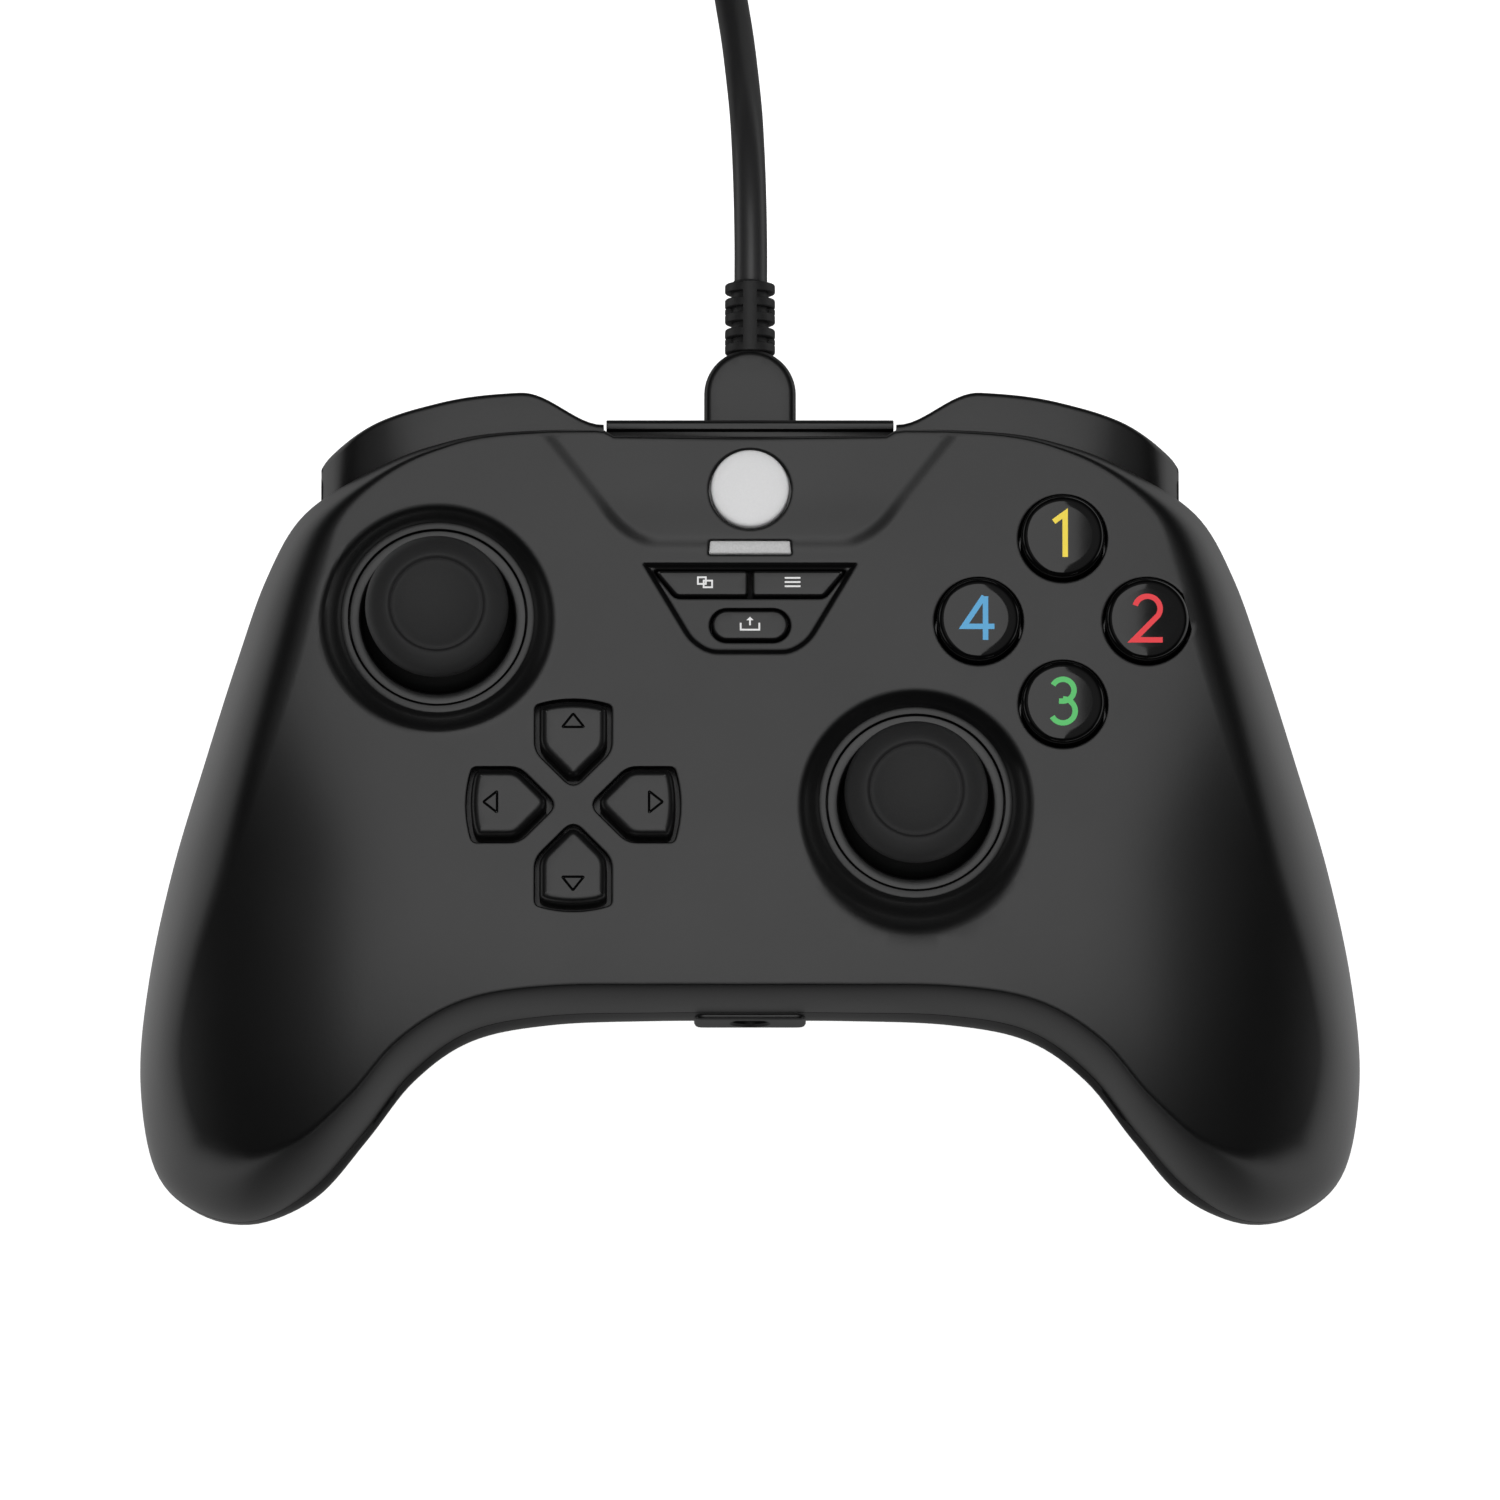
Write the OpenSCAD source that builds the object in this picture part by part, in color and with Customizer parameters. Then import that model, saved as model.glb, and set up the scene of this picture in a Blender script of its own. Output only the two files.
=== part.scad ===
// Wired gamepad: two moulded shells, two clickable sticks on gimbals, a rocking direction pad, sprung
// buttons, bumpers, triggers, rumble motors and a corded plug. Millimetres.
// Frame: +X to the player's right, +Y away from the player, +Z up out of the face. The table is z = 0.

/* [Housing] */
// Width across both grips
grip_span = 153; // [146:0.5:160]
// Width across the shoulders
shoulder_span = 112.4; // [109:0.2:116]
// Reach of the grips from the middle towards the player
grip_reach = 50.6; // [48:0.1:54]
// Height of the flat of the face above the table
face_z = 44; // [43:0.1:46]
// Thickness of both shells
wall = 2.2; // [1.8:0.1:2.5]
// Gap between the two shells along the seam
seam_gap = 0.3; // [0.2:0.05:0.5]
// Height of the raised centre panel above the face
panel_rise = 0.6; // [0.3:0.1:0.9]
// Depth of the sunk island that holds the small buttons
island_depth = 0.8; // [0.4:0.1:1]
// Radius of a housing screw's shank
screw_r = 1.2; // [1:0.05:1.3]

/* [Face layout] */
// Left stick, from the middle of the pad
left_stick_at = [-38.9, 20.4]; // [-60:0.1:60]
// Right stick, from the middle of the pad
right_stick_at = [20.6, -3]; // [-60:0.1:60]
// Direction pad, from the middle of the pad
dpad_at = [-22, -3]; // [-60:0.1:60]
// Group of four face buttons, from the middle of the pad
buttons_at = [39, 20.2]; // [-60:0.1:60]
// Distance of a face button from the middle of its group
button_ring = 10.5; // [10:0.1:11]
// Home button, ahead of the middle
home_y = 36.9; // [36:0.1:37.5]
// Light bar, ahead of the middle
light_y = 29.5; // [29.2:0.1:30]
// View and menu buttons, ahead of the middle
menu_y = 25.05; // [24.8:0.05:25.2]
// Share button, ahead of the middle
share_y = 19.8; // [19.5:0.1:20.2]

/* [Sticks] */
// Height of the collar round a stick above the face
collar_rise = 1.7; // [1.4:0.1:2]
// Radius of a collar's flat lip
collar_r = 12.05; // [11.9:0.05:12.4]
// Radius of a trim ring inside its collar
ring_r = 11; // [10.8:0.05:11.1]
// Radius of a stick cap
cap_r = 8.9; // [8.4:0.1:9.3]
// Height of the gimbal's centre below the face
gimbal_drop = 10; // [9.8:0.05:10.3]
// Radius of a stick shaft
shaft_r = 1.5; // [1.3:0.05:1.7]
// Radius of the bail's pins
bail_pin_r = 1.2; // [1:0.05:1.4]
// Radius of the hub's trunnions
trunnion_r = 0.9; // [0.8:0.05:1]

/* [Direction pad] */
// Width of one opening
pad_w = 9.5; // [9:0.1:10]
// Reach of an opening from the middle of the pad
pad_reach = 13.3; // [12.8:0.1:13.6]
// Gap round a pad in its opening
pad_gap = 0.55; // [0.5:0.05:0.7]
// Height of the pads above the face
pad_rise = 2; // [1.5:0.1:2.5]
// Radius of the steel ball under the rocker
ball_r = 2; // [1.8:0.1:2.2]

/* [Buttons] */
// Radius of a face button
button_r = 5.2; // [5:0.05:5.3]
// Height of a face button above the face
button_rise = 1.9; // [1.5:0.1:2.5]
// Radius of the home button
home_r = 4.85; // [4.6:0.05:5]
// Travel of a face button
button_travel = 1.5; // [1:0.1:1.8]
// Gap round a button in its opening
button_gap = 0.3; // [0.25:0.05:0.4]

/* [Bumpers and triggers] */
// Reach of a bumper past the rear edge
bumper_reach = 5.65; // [5.4:0.05:6.2]
// Thickness of a bumper
bumper_wall = 1.9; // [1.6:0.1:2.2]
// Width of a trigger
trigger_w = 20; // [18:0.5:20.4]
// Radius of a trigger's pin
trigger_pin_r = 1.5; // [1.3:0.1:1.7]
// Radius of a bumper's pin
bumper_pin_r = 1.1; // [0.9:0.1:1.3]
// Wire of a trigger's return spring
spring_wire = 0.7; // [0.6:0.05:0.8]

/* [Board and motors] */
// Thickness of the main board
board_t = 1.6; // [1.2:0.1:1.7]
// Depth of the board's upper side below the face
board_drop = 16.4; // [16.2:0.1:16.8]
// Radius of a rumble motor's can
motor_r = 6.4; // [6:0.1:6.8]
// Radius of a rumble weight
weight_r = 8.6; // [8:0.1:9]

/* [Cable] */
// Diameter of the cord
cord_d = 4.2; // [4:0.1:4.4]
// Width of the plug head in the pad
plug_w = 11.5; // [11:0.1:12]
// Thickness of the plug head
plug_t = 7.4; // [7:0.1:7.8]
// Radius of the plug head's rounded edges
plug_edge = 1.3; // [1:0.1:1.6]
// Gap round the plug head in its opening
plug_gap = 0.3; // [0.2:0.05:0.4]
// Turns in each layer of the coil
layer_turns = 3.6875; // [3.6875:0.5:4.1875]
// Gap between neighbouring turns
turn_gap = 0.55; // [0.5:0.05:0.8]

/* [Fits] */
// Running clearance of pins and shafts
run_fit = 0.05; // [0.03:0.01:0.09]
// Clearance of parts that are put together and don't move
seat_fit = 0.03; // [0.02:0.01:0.05]

/* [Hidden] */
$fn = 48;

// Colours
shell_black = [0.07, 0.07, 0.075];
gloss_black = [0.03, 0.03, 0.03];
rubber_grey = [0.16, 0.16, 0.17];
pale_grey = [0.8, 0.8, 0.8];
steel = [0.62, 0.63, 0.65];
board_green = [0.1, 0.3, 0.16];
mat_grey = [0.45, 0.45, 0.47];
socket_grey = [0.3, 0.31, 0.33];

// Heights
board_top = face_z - board_drop;
board_low = board_top - board_t;
face_under = face_z - wall;
frame_t = 1.7;
frame_low = board_low - frame_t;
gimbal_z = face_z - gimbal_drop;
lip_z = face_z + collar_rise;
stem_z = board_top + 3.5;
mat_t = 0.8;
dome_top = stem_z - 0.3;
usb_z = board_top + 1.7;

// Housing edge, right half from the middle of the rear round to the middle of the front:
// x, y, drop of the seam below the face, roll of the front shell, roll of the rear shell,
// opening between the shells, belly of the rear shell below the seam
half_span = grip_span / 2;
half_shoulder = shoulder_span / 2;
flare = half_span - half_shoulder;
rear_y = 44.8;
front_y = -26.6;
HALF_EDGE = [
    [0, rear_y, 4, 1.8, 5, 15.2, 0],
    [half_shoulder - 28.2, rear_y, 4, 1.8, 5, 15.2, 0],
    [half_shoulder - 16.2, rear_y - 1.8, 4.8, 2.2, 5, 14.4, 0],
    [half_shoulder - 7.2, rear_y - 5.4, 7, 3.5, 6, 13, 0],
    [half_shoulder, 34.9, 10, 6, 7, 0.5, 0],
    [half_shoulder + 0.217 * flare, 27.6, 12.5, 7.5, 8, 0, 0],
    [half_shoulder + 0.399 * flare, 17.5, 15, 8.5, 9, 0, 0],
    [half_span - 0.409 * flare, 5.5, 17.5, 9, 9, 0, 0],
    [half_span - 0.202 * flare, -8, 21, 9, 9, 0, 0],
    [half_span - 0.054 * flare, -21.5, 24.5, 9, 9, 0, 0],
    [half_span, 17.1 - grip_reach, 27.5, 9, 9, 0, 0],
    [half_span - 1.9, 6.1 - grip_reach, 29.5, 9, 9, 0, 0],
    [half_span - 7.2, 1.1 - grip_reach, 30.8, 9, 9, 0, 0.2],
    [half_span - 14.2, -grip_reach, 31.4, 9, 9, 0, 0.6],
    [half_span - 21.5, 3.9 - grip_reach, 30.8, 8.5, 9, 0, 2],
    [half_span - 27.9, 10.6 - grip_reach, 28.5, 8, 9, 0, 2],
    [half_span - 33.9, 17.6 - grip_reach, 25, 7, 9, 0, 2],
    [35, -28.4, 19.6, 6, 8, 0, 1.8],
    [25, -26.8, 17.2, 5.5, 8, 0, 1.5],
    [12, front_y, 16.2, 5, 8, 0, 1.2],
    [0, front_y, 16, 5, 8, 0, 1.2]
];
EDGE = [
    for (i = [0:39])
        i <= 10 ? flip(HALF_EDGE[10 - i])
        : i <= 30 ? HALF_EDGE[i - 10]
        : flip(HALF_EDGE[50 - i])
];
function flip(e) = concat([-e[0]], [for (i = [1:len(e) - 1]) e[i]]);

// Face and floor of the housing
droop_from = 34;
droop_later = 12;
side_droop = 0.0002;
droop_fore = 4;
grip_droop = 0.0075;
valley_z = 15;
hump_half = [24, 15];
hump_y = 20;
grip_rear = [52, 5];
grip_tip = [half_span - 12.5, 8.6 - grip_reach];
function clamp01(v) = min(1, max(0, v));
function smooth(a, b, v) = let (t = clamp01((v - a) / (b - a))) t * t * (3 - 2 * t);
function droop_x(y) = droop_from + droop_later * smooth(-6, 14, y);
function face_at(p) =
    let (side = max(0, abs(p[0]) - droop_x(p[1])), fore = max(0, -p[1] - droop_fore))
    face_z - side_droop * pow(side, 3) - grip_droop * pow(fore, 2);
function grip_share(p) =
    let (
        run = grip_tip - grip_rear,
        rel = [abs(p[0]), p[1]] - grip_rear,
        along = (rel * run) / (run * run),
        off = norm(rel - run * clamp01(along))
    )
    smooth(0.1, 0.8, along) * (1 - smooth(4, 24, off));
function hump_share(p) = 1 - smooth(0.9, 1.9, norm([p[0] / hump_half[0], (p[1] - hump_y) / hump_half[1]]));
function floor_at(p) = valley_z * (1 - hump_share(p)) * (1 - grip_share(p));

// Points of the housing edge on a closed curve through EDGE
FRONT = 1;
REAR = -1;
EDGE_STEPS = 2;
AROUND = len(EDGE) * EDGE_STEPS;
function edge_at(q) =
    let (
        n = len(EDGE),
        i = floor(q),
        t = q - i,
        a = EDGE[(i + n - 1) % n],
        b = EDGE[i % n],
        c = EDGE[(i + 1) % n],
        d = EDGE[(i + 2) % n]
    )
    b + 0.5 * t * (c - a + t * (2 * a - 5 * b + 4 * c - d + t * (3 * b - a - 3 * c + d)));
function inward(q) =
    let (e = edge_at(q + len(EDGE) + 0.02) - edge_at(q + len(EDGE) - 0.02), l = norm([e[0], e[1]]))
    [e[1] / l, -e[0] / l];
function xy(e) = [e[0], e[1]];
function seam_z(side, e) = face_z - e[2] - (side == FRONT ? 0 : seam_gap + max(0, e[5]));
function skin_z(side, p) = side == FRONT ? face_at(p) : floor_at(p);

// A point of a shell's rolled edge: turn 0 is the seam and turn 90 is where the roll meets the skin
function roll_point(side, q, turn, inset) =
    let (
        e = edge_at(q),
        n = inward(q),
        roll = max((side == FRONT ? e[3] : e[4]) - inset, 0.7),
        belly = side == FRONT ? 0 : e[6] * sin(2 * turn),
        root = xy(e) + n * inset,
        p = root + n * (roll * (1 - cos(turn)) - belly),
        high = skin_z(side, p) - side * inset,
        drop = skin_z(side, root) - side * inset - seam_z(side, e)
    )
    [p[0], p[1], high - drop * (1 - sin(turn))];
function across(side, i, f, inset) =
    let (
        a = roll_point(side, (AROUND - i) / EDGE_STEPS, 90, inset),
        b = roll_point(side, i / EDGE_STEPS, 90, inset),
        p = xy(a) * (1 - f) + xy(b) * f
    )
    [p[0], p[1], skin_z(side, p) - side * inset];
function skin_points(side, inset, rolls, steps) = concat(
    [for (k = [0:rolls]) for (i = [0:AROUND - 1]) roll_point(side, i / EDGE_STEPS, 90 * k / rolls, inset)],
    [for (i = [1:AROUND / 2 - 1]) for (j = [1:steps - 1]) across(side, i, j / steps, inset)]
);
function skin_id(i, j, rolls, steps) =
    i == 0 ? rolls * AROUND
    : i == AROUND / 2 ? rolls * AROUND + i
    : j == 0 ? rolls * AROUND + AROUND - i
    : j == steps ? rolls * AROUND + i
    : (rolls + 1) * AROUND + (i - 1) * (steps - 1) + j - 1;
function kept(faces) = [for (f = faces) if (f[0] != f[1] && f[1] != f[2] && f[2] != f[0]) f];
function skin_faces(rolls, steps) = kept(concat(
    [for (k = [0:rolls - 1]) for (i = [0:AROUND - 1]) for (f = quad(k * AROUND, (k + 1) * AROUND, i)) f],
    [
        for (i = [0:AROUND / 2 - 1]) for (j = [0:steps - 1])
            let (
                a = skin_id(i, j, rolls, steps),
                b = skin_id(i + 1, j, rolls, steps),
                c = skin_id(i + 1, j + 1, rolls, steps),
                d = skin_id(i, j + 1, rolls, steps)
            )
            for (f = [[a, b, c], [a, c, d]]) f
    ]
));
function quad(low, high, i) =
    let (n = (i + 1) % AROUND)
    [[low + i, high + n, low + n], [low + i, high + i, high + n]];
function shifted(faces, by) = [for (f = faces) f + [by, by, by]];
function turned(faces) = [for (f = faces) [f[0], f[2], f[1]]];
function facing(side, faces) = side == FRONT ? turned(faces) : faces;

// Hollow skin of one shell
module shell_skin(side) {
    outer = skin_points(side, 0, 5, 10);
    inner = skin_points(side, wall, 2, 5);
    first = len(outer);
    rim = [for (i = [0:AROUND - 1]) for (f = quad(first, 0, i)) f];
    polyhedron(
        points = concat(outer, inner),
        faces = facing(side, concat(skin_faces(5, 10), turned(shifted(skin_faces(2, 5), first)), rim))
    );
}

// Solid that fills a shell up to a depth under its skin and runs far past the seam, for trimming bosses
module shell_core(side, inset) {
    skin = skin_points(side, inset, 2, 5);
    far = [for (i = [0:AROUND - 1]) [skin[i][0], skin[i][1], side == FRONT ? -20 : face_z + 20]];
    first = len(skin);
    wallside = [for (i = [0:AROUND - 1]) for (f = quad(first, 0, i)) f];
    lid = [
        for (i = [0:AROUND / 2 - 1])
            let (
                a = first + (AROUND - i) % AROUND,
                b = first + AROUND - i - 1,
                c = first + i + 1,
                d = first + i
            )
            for (f = [[d, c, b], [d, b, a]]) f
    ];
    polyhedron(
        points = concat(skin, far),
        faces = facing(side, concat(skin_faces(2, 5), wallside, kept(lid)))
    );
}

// Straight prism between two outlines with the same number of points
module frustum(low, high, z0, z1) {
    n = len(low);
    polyhedron(
        points = concat([for (p = low) [p[0], p[1], z0]], [for (p = high) [p[0], p[1], z1]]),
        faces = concat(
            [[for (i = [0:n - 1]) i]],
            [[for (i = [0:n - 1]) 2 * n - 1 - i]],
            [for (i = [0:n - 1]) [i, i + n, (i + 1) % n + n, (i + 1) % n]]
        )
    );
}
module at(p, z = 0) {
    translate([p[0], p[1], z])
        children();
}

// Places
home_at = [0, home_y];
BUTTONS = [for (a = [90, 0, -90, 180]) buttons_at + button_ring * [cos(a), sin(a)]];
grip_x = half_span - 16;
trigger_x = half_shoulder - 19.7;
ear_t = 1.8;
ear_gap = 0.5;
EARS = [trigger_x - trigger_w / 2 - ear_gap - ear_t, trigger_x + trigger_w / 2 + ear_gap];
lug_at = [EARS[0] - 3.6, 40.4];
bridge_half = EARS[0] - 6.25;
SCREWS = [
    [grip_x, 10.6 - grip_reach, 4.5, 14], [half_shoulder + 2.8, 0, 19, 24], [EARS[0] - 3.2, 34, 9, board_low]
];
BOARD_SCREWS = [[-17, 14], [17, 14], [7.2, -14]];
boss_r = 3;
guide_low = face_z - 5.8;
jack_z = board_low - 3;
tab_y = front_y - 0.6;

// Raised collar round a stick
module stick_collar(p) {
    at(p)
        rotate_extrude()
            polygon([
                [ring_r - 0.5, face_under + 0.2], [collar_r + 4.4, face_under + 0.2],
                [collar_r + 4.4, face_z - 1.7], [collar_r + 2.9, face_z - 0.15],
                [collar_r + 2.05, face_z + 0.25], [collar_r + 1.15, face_z + collar_rise / 2],
                [collar_r + 0.3, lip_z - 0.35], [collar_r, lip_z], [ring_r - 0.5, lip_z]
            ]);
}
PANEL = [
    [26, 43.2], [-26, 43.2], [-19.4, 34.8], [-17.5, 32.2], [-15.4, 30.4], [-12.5, 29],
    [12.5, 29], [15.4, 30.4], [17.5, 32.2], [19.4, 34.8]
];
function shrunk(line, by) = [
    for (i = [0:len(line) - 1])
        let (
            n = len(line),
            a = unit(line[i] - line[(i + n - 1) % n]),
            b = unit(line[(i + 1) % n] - line[i]),
            left = [-a[1], a[0]],
            next = [-b[1], b[0]]
        )
        line[i] + by * (left + next) / (1 + left * next)
];
ISLAND = [
    [13.6, 27.7], [-13.6, 27.7], [-8.1, 18.8], [-6.6, 17], [-4.2, 16], [4.2, 16], [6.6, 17], [8.1, 18.8]
];
MENU = [[0.3, menu_y + 1.55], [11.8, menu_y + 1.55], [9.2, menu_y - 1.55], [0.3, menu_y - 1.55]];
MENU_HOLE = [
    [-12.2, menu_y + 1.8], [12.2, menu_y + 1.8], [9.35, menu_y - 1.8], [-9.35, menu_y - 1.8]
];
share_w = 9.4;
share_t = 3.65;
light_w = 10.4;
light_t = 1.65;
function light_line(by) = [
    [-light_w / 2 + 0.3 - by, light_y + light_t / 2 + by],
    [light_w / 2 - 0.3 + by, light_y + light_t / 2 + by],
    [light_w / 2 + by, light_y - light_t / 2 - by],
    [-light_w / 2 - by, light_y - light_t / 2 - by]
];
function pad_line(by) = [
    [2 + by * sqrt(2), 0], [2 + pad_w / 2 + by * (sqrt(2) - 1), -pad_w / 2 + by],
    [pad_reach - 0.45 - by, -pad_w / 2 + by], [pad_reach - by, -pad_w / 8],
    [pad_reach - by, pad_w / 8], [pad_reach - 0.45 - by, pad_w / 2 - by],
    [2 + pad_w / 2 + by * (sqrt(2) - 1), pad_w / 2 - by]
];
module capsule(w, t, h) {
    linear_extrude(h)
        union() {
            square([w - t, t], center = true);
            for (s = [-1, 1])
                translate([s * (w - t) / 2, 0])
                    circle(t / 2);
        }
}

module rounded_bar(w, t, r, h) {
    linear_extrude(h)
        union() {
            square([w - 2 * r, t], center = true);
            square([w, t - 2 * r], center = true);
            for (i = [-1, 1], k = [-1, 1])
                translate([i * (w / 2 - r), k * (t / 2 - r)])
                    circle(r);
        }
}

// Housing
module front_shell() {
    color(shell_black)
        difference() {
            union() {
                shell_skin(FRONT);
                intersection() {
                    front_bosses();
                    shell_core(FRONT, 1);
                }
                stick_collar(left_stick_at);
                stick_collar(right_stick_at);
                frustum(PANEL, shrunk(PANEL, 1.1), face_z - 0.6, face_z + panel_rise);
            }
            front_openings();
        }
}
module front_bosses() {
    for (b = BUTTONS)
        at(b, guide_low)
            cylinder(r = button_r + button_gap + 1.3, h = 10);
    for (s = SCREWS, m = [-1, 1])
        at([m * s[0], s[1]], s[3])
            cylinder(r = boss_r, h = 30);
    for (b = BOARD_SCREWS)
        at(b, board_top)
            cylinder(r = 2.2, h = 20);
}
module front_openings() {
    for (p = [left_stick_at, right_stick_at]) {
        at(p, face_z - 10)
            cylinder(r = ring_r + 0.12, h = 20);
        at(p, face_z - 10)
            cylinder(r = ring_r + 2, h = 10 - wall);
    }
    for (b = BUTTONS)
        at(b, face_z - 10)
            cylinder(r = button_r + button_gap, h = 20);
    at(home_at, face_z - 10)
        cylinder(r = home_r + button_gap, h = 20);
    for (a = [0:90:270])
        at(dpad_at, face_z - 10)
            rotate(a)
                linear_extrude(20)
                    polygon(pad_line(0));
    at(dpad_at, face_z - 10)
        cylinder(r = plate_r + 0.6, h = 10 - wall);
    frustum(shrunk(ISLAND, 0.7), ISLAND, face_z - island_depth, face_z + 0.01);
    translate([0, 0, face_z - 10])
        linear_extrude(20)
            polygon(MENU_HOLE);
    translate([0, share_y, face_z - 10])
        capsule(share_w + 2 * button_gap, share_t + 2 * button_gap, 20);
    translate([0, 0, face_z - 10])
        linear_extrude(20)
            polygon(light_line(0.08));
    for (s = SCREWS, m = [-1, 1])
        at([m * s[0], s[1]], s[3] - 1)
            cylinder(r = screw_r - 0.15, h = 9);
    for (b = BOARD_SCREWS)
        at(b, board_top - 1)
            cylinder(r = 0.8, h = 7);
}
module rear_shell() {
    color(shell_black)
        difference() {
            union() {
                shell_skin(REAR);
                intersection() {
                    rear_bosses();
                    shell_core(REAR, 1);
                }
                jack_tab();
            }
            rear_openings();
        }
}
module jack_tab() {
    translate([-7, tab_y, jack_z - 3.6])
        cube([14, 3.4, 7.4]);
}
motor_z = 18;
motor_y = -19;
module rear_bosses() {
    for (s = SCREWS, m = [-1, 1])
        at([m * s[0], s[1]], -5)
            cylinder(r = boss_r + 0.3, h = min(s[3], frame_low) + 5);
    for (m = [-1, 1], y = [motor_y - 5, motor_y + 3.4])
        translate([m * grip_x - 8, y, 0])
            cube([16, 1.6, motor_z]);
}
module rear_openings() {
    for (s = SCREWS, m = [-1, 1])
        at([m * s[0], s[1]], -5) {
            cylinder(r = 2.6, h = s[2] + 5);
            cylinder(r = screw_r + 0.1, h = 60);
        }
    for (m = [-1, 1]) {
        translate([m * grip_x, motor_y, motor_z])
            rotate([90, 0, 0])
                cylinder(r = motor_r, h = 12, center = true);
        translate([m * trigger_x - trigger_w / 2 - 1, 34.4, -1])
            cube([trigger_w + 2, 20, face_z]);
    }
    translate([0, front_y - 5, jack_z])
        rotate([-90, 0, 0])
            cylinder(r = 2.3, h = 10);
    translate([-4.4, front_y + 2.2, jack_z - 3])
        cube([8.8, 6, 8]);
}

// Bridge between the bumpers, with the opening for the plug
bridge_in = rear_y - 1.6;
bridge_out = rear_y + 1.1;
bridge_top = face_z - 3;
bridge_low = face_z - 19.3;
bridge_groove = 0.8;
module bridge() {
    color(shell_black)
        difference() {
            translate([bridge_half, 0, 0])
                rotate([90, 0, -90])
                    linear_extrude(2 * bridge_half)
                        polygon([
                            [-bridge_in, bridge_low], [-bridge_out, bridge_low],
                            [-bridge_out, bridge_top - 0.4], [0.4 - bridge_out, bridge_top],
                            [bridge_groove - bridge_out, bridge_top],
                            [bridge_groove - bridge_out, bridge_top - 1.3], [-bridge_in, bridge_top - 1.3]
                        ]);
            translate([0, 40, usb_z])
                rotate([-90, 0, 0])
                    rounded_bar(plug_w + 2 * plug_gap, plug_t + 2 * plug_gap, plug_edge + plug_gap, 10);
        }
}
ring_in = ring_r - 1.4;
module stick_ring(p) {
    color(rubber_grey)
        at(p)
            rotate_extrude()
                polygon([
                    [ring_in, face_z - 1.6], [ring_in, lip_z - 0.35], [ring_in + 0.15, lip_z - 0.2],
                    [ring_r - 0.15, lip_z - 0.2], [ring_r, lip_z - 0.35], [ring_r, face_under - 0.05],
                    [ring_r + 1.7, face_under - 0.05], [ring_r + 1.7, face_under - 0.9],
                    [ring_r - 0.1, face_under - 0.9], [ring_r - 0.4, face_z - 2]
                ]);
}
module left_stick_ring() {
    stick_ring(left_stick_at);
}
module right_stick_ring() {
    stick_ring(right_stick_at);
}
module light_bar() {
    color(pale_grey) {
        translate([0, 0, face_under - 0.8])
            linear_extrude(wall + 1.2 + panel_rise)
                polygon(light_line(0));
        translate([-light_w / 2 - 0.8, light_y - light_t / 2 - 0.6, face_under - 1.2])
            cube([light_w + 1.6, light_t + 1.2, 1.15]);
    }
}

// Board, frame and what is soldered to them
board_gap = 0.4;
HALF_BOARD = [
    [EARS[0] - board_gap, 38], [EARS[0] - board_gap, 31], [EARS[0] + ear_t + board_gap, 31],
    [EARS[0] + ear_t + board_gap, 34.2], [EARS[1] - board_gap, 34.2], [EARS[1] - board_gap, 31],
    [half_shoulder - 2.2, 31], [half_shoulder - 0.7, 26], [half_shoulder - 0.7, 12],
    [half_shoulder - 6.2, 0], [38, -12], [32, -21]
];
BOARD = concat(HALF_BOARD, [for (i = [len(HALF_BOARD) - 1:-1:0]) [-HALF_BOARD[i][0], HALF_BOARD[i][1]]]);
module main_board() {
    color(board_green)
        difference() {
            translate([0, 0, board_low])
                linear_extrude(board_t)
                    polygon(BOARD);
            for (m = [-1, 1])
                at([m * SCREWS[2][0], SCREWS[2][1]], board_low - 1)
                    cylinder(r = boss_r + 0.3, h = 5);
            for (b = BOARD_SCREWS)
                at(b, board_low - 1)
                    cylinder(r = 1.1, h = 5);
        }
}
pin_y = 37.5;
pin_z = board_top + 0.6;
switch_x = EARS[1] + 2;
module mid_frame() {
    color(socket_grey)
        difference() {
            union() {
                translate([-EARS[1] - ear_t, 27, frame_low])
                    cube([2 * (EARS[1] + ear_t), 4, frame_t]);
                translate([-EARS[0] + 0.3, 27, frame_low])
                    cube([2 * EARS[0] - 0.6, 15.2, frame_t]);
                for (m = [-1, 1], e = EARS)
                    translate([m * (e + ear_t / 2) - ear_t / 2, 0, 0]) {
                        translate([0, 30, frame_low])
                            cube([ear_t, 3.5, frame_t]);
                        translate([0, 31.4, frame_low + 1])
                            cube([ear_t, pin_y - 31.4, pin_z - frame_low + 1.6]);
                        translate([0, pin_y, pin_z])
                            rotate([0, 90, 0])
                                cylinder(r = 2.6, h = ear_t);
                    }
                for (m = [-1, 1]) {
                    at([m * lug_at[0], lug_at[1]], frame_low)
                        cylinder(r = 1.9, h = face_z - 12 - frame_low);
                    translate([m * switch_x - 2, 31.4, pin_z + 1.1])
                        cube([4, 4, 1.5]);
                }
            }
            for (m = [-1, 1]) {
                at([m * lug_at[0], lug_at[1]], frame_low - 1)
                    cylinder(r = bumper_pin_r + seat_fit, h = 20);
                at([m * SCREWS[2][0], SCREWS[2][1]], frame_low - 1)
                    cylinder(r = screw_r + 0.1, h = 5);
            }
            translate([0, pin_y, pin_z])
                rotate([0, 90, 0])
                    cylinder(r = trigger_pin_r + seat_fit, h = 2 * EARS[1] + 8, center = true);
        }
}
module mat_dome(p, r) {
    at(p, board_top + mat_t - 0.1)
        cylinder(r1 = r, r2 = r - 0.8, h = dome_top - board_top - mat_t + 0.1);
}
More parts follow.
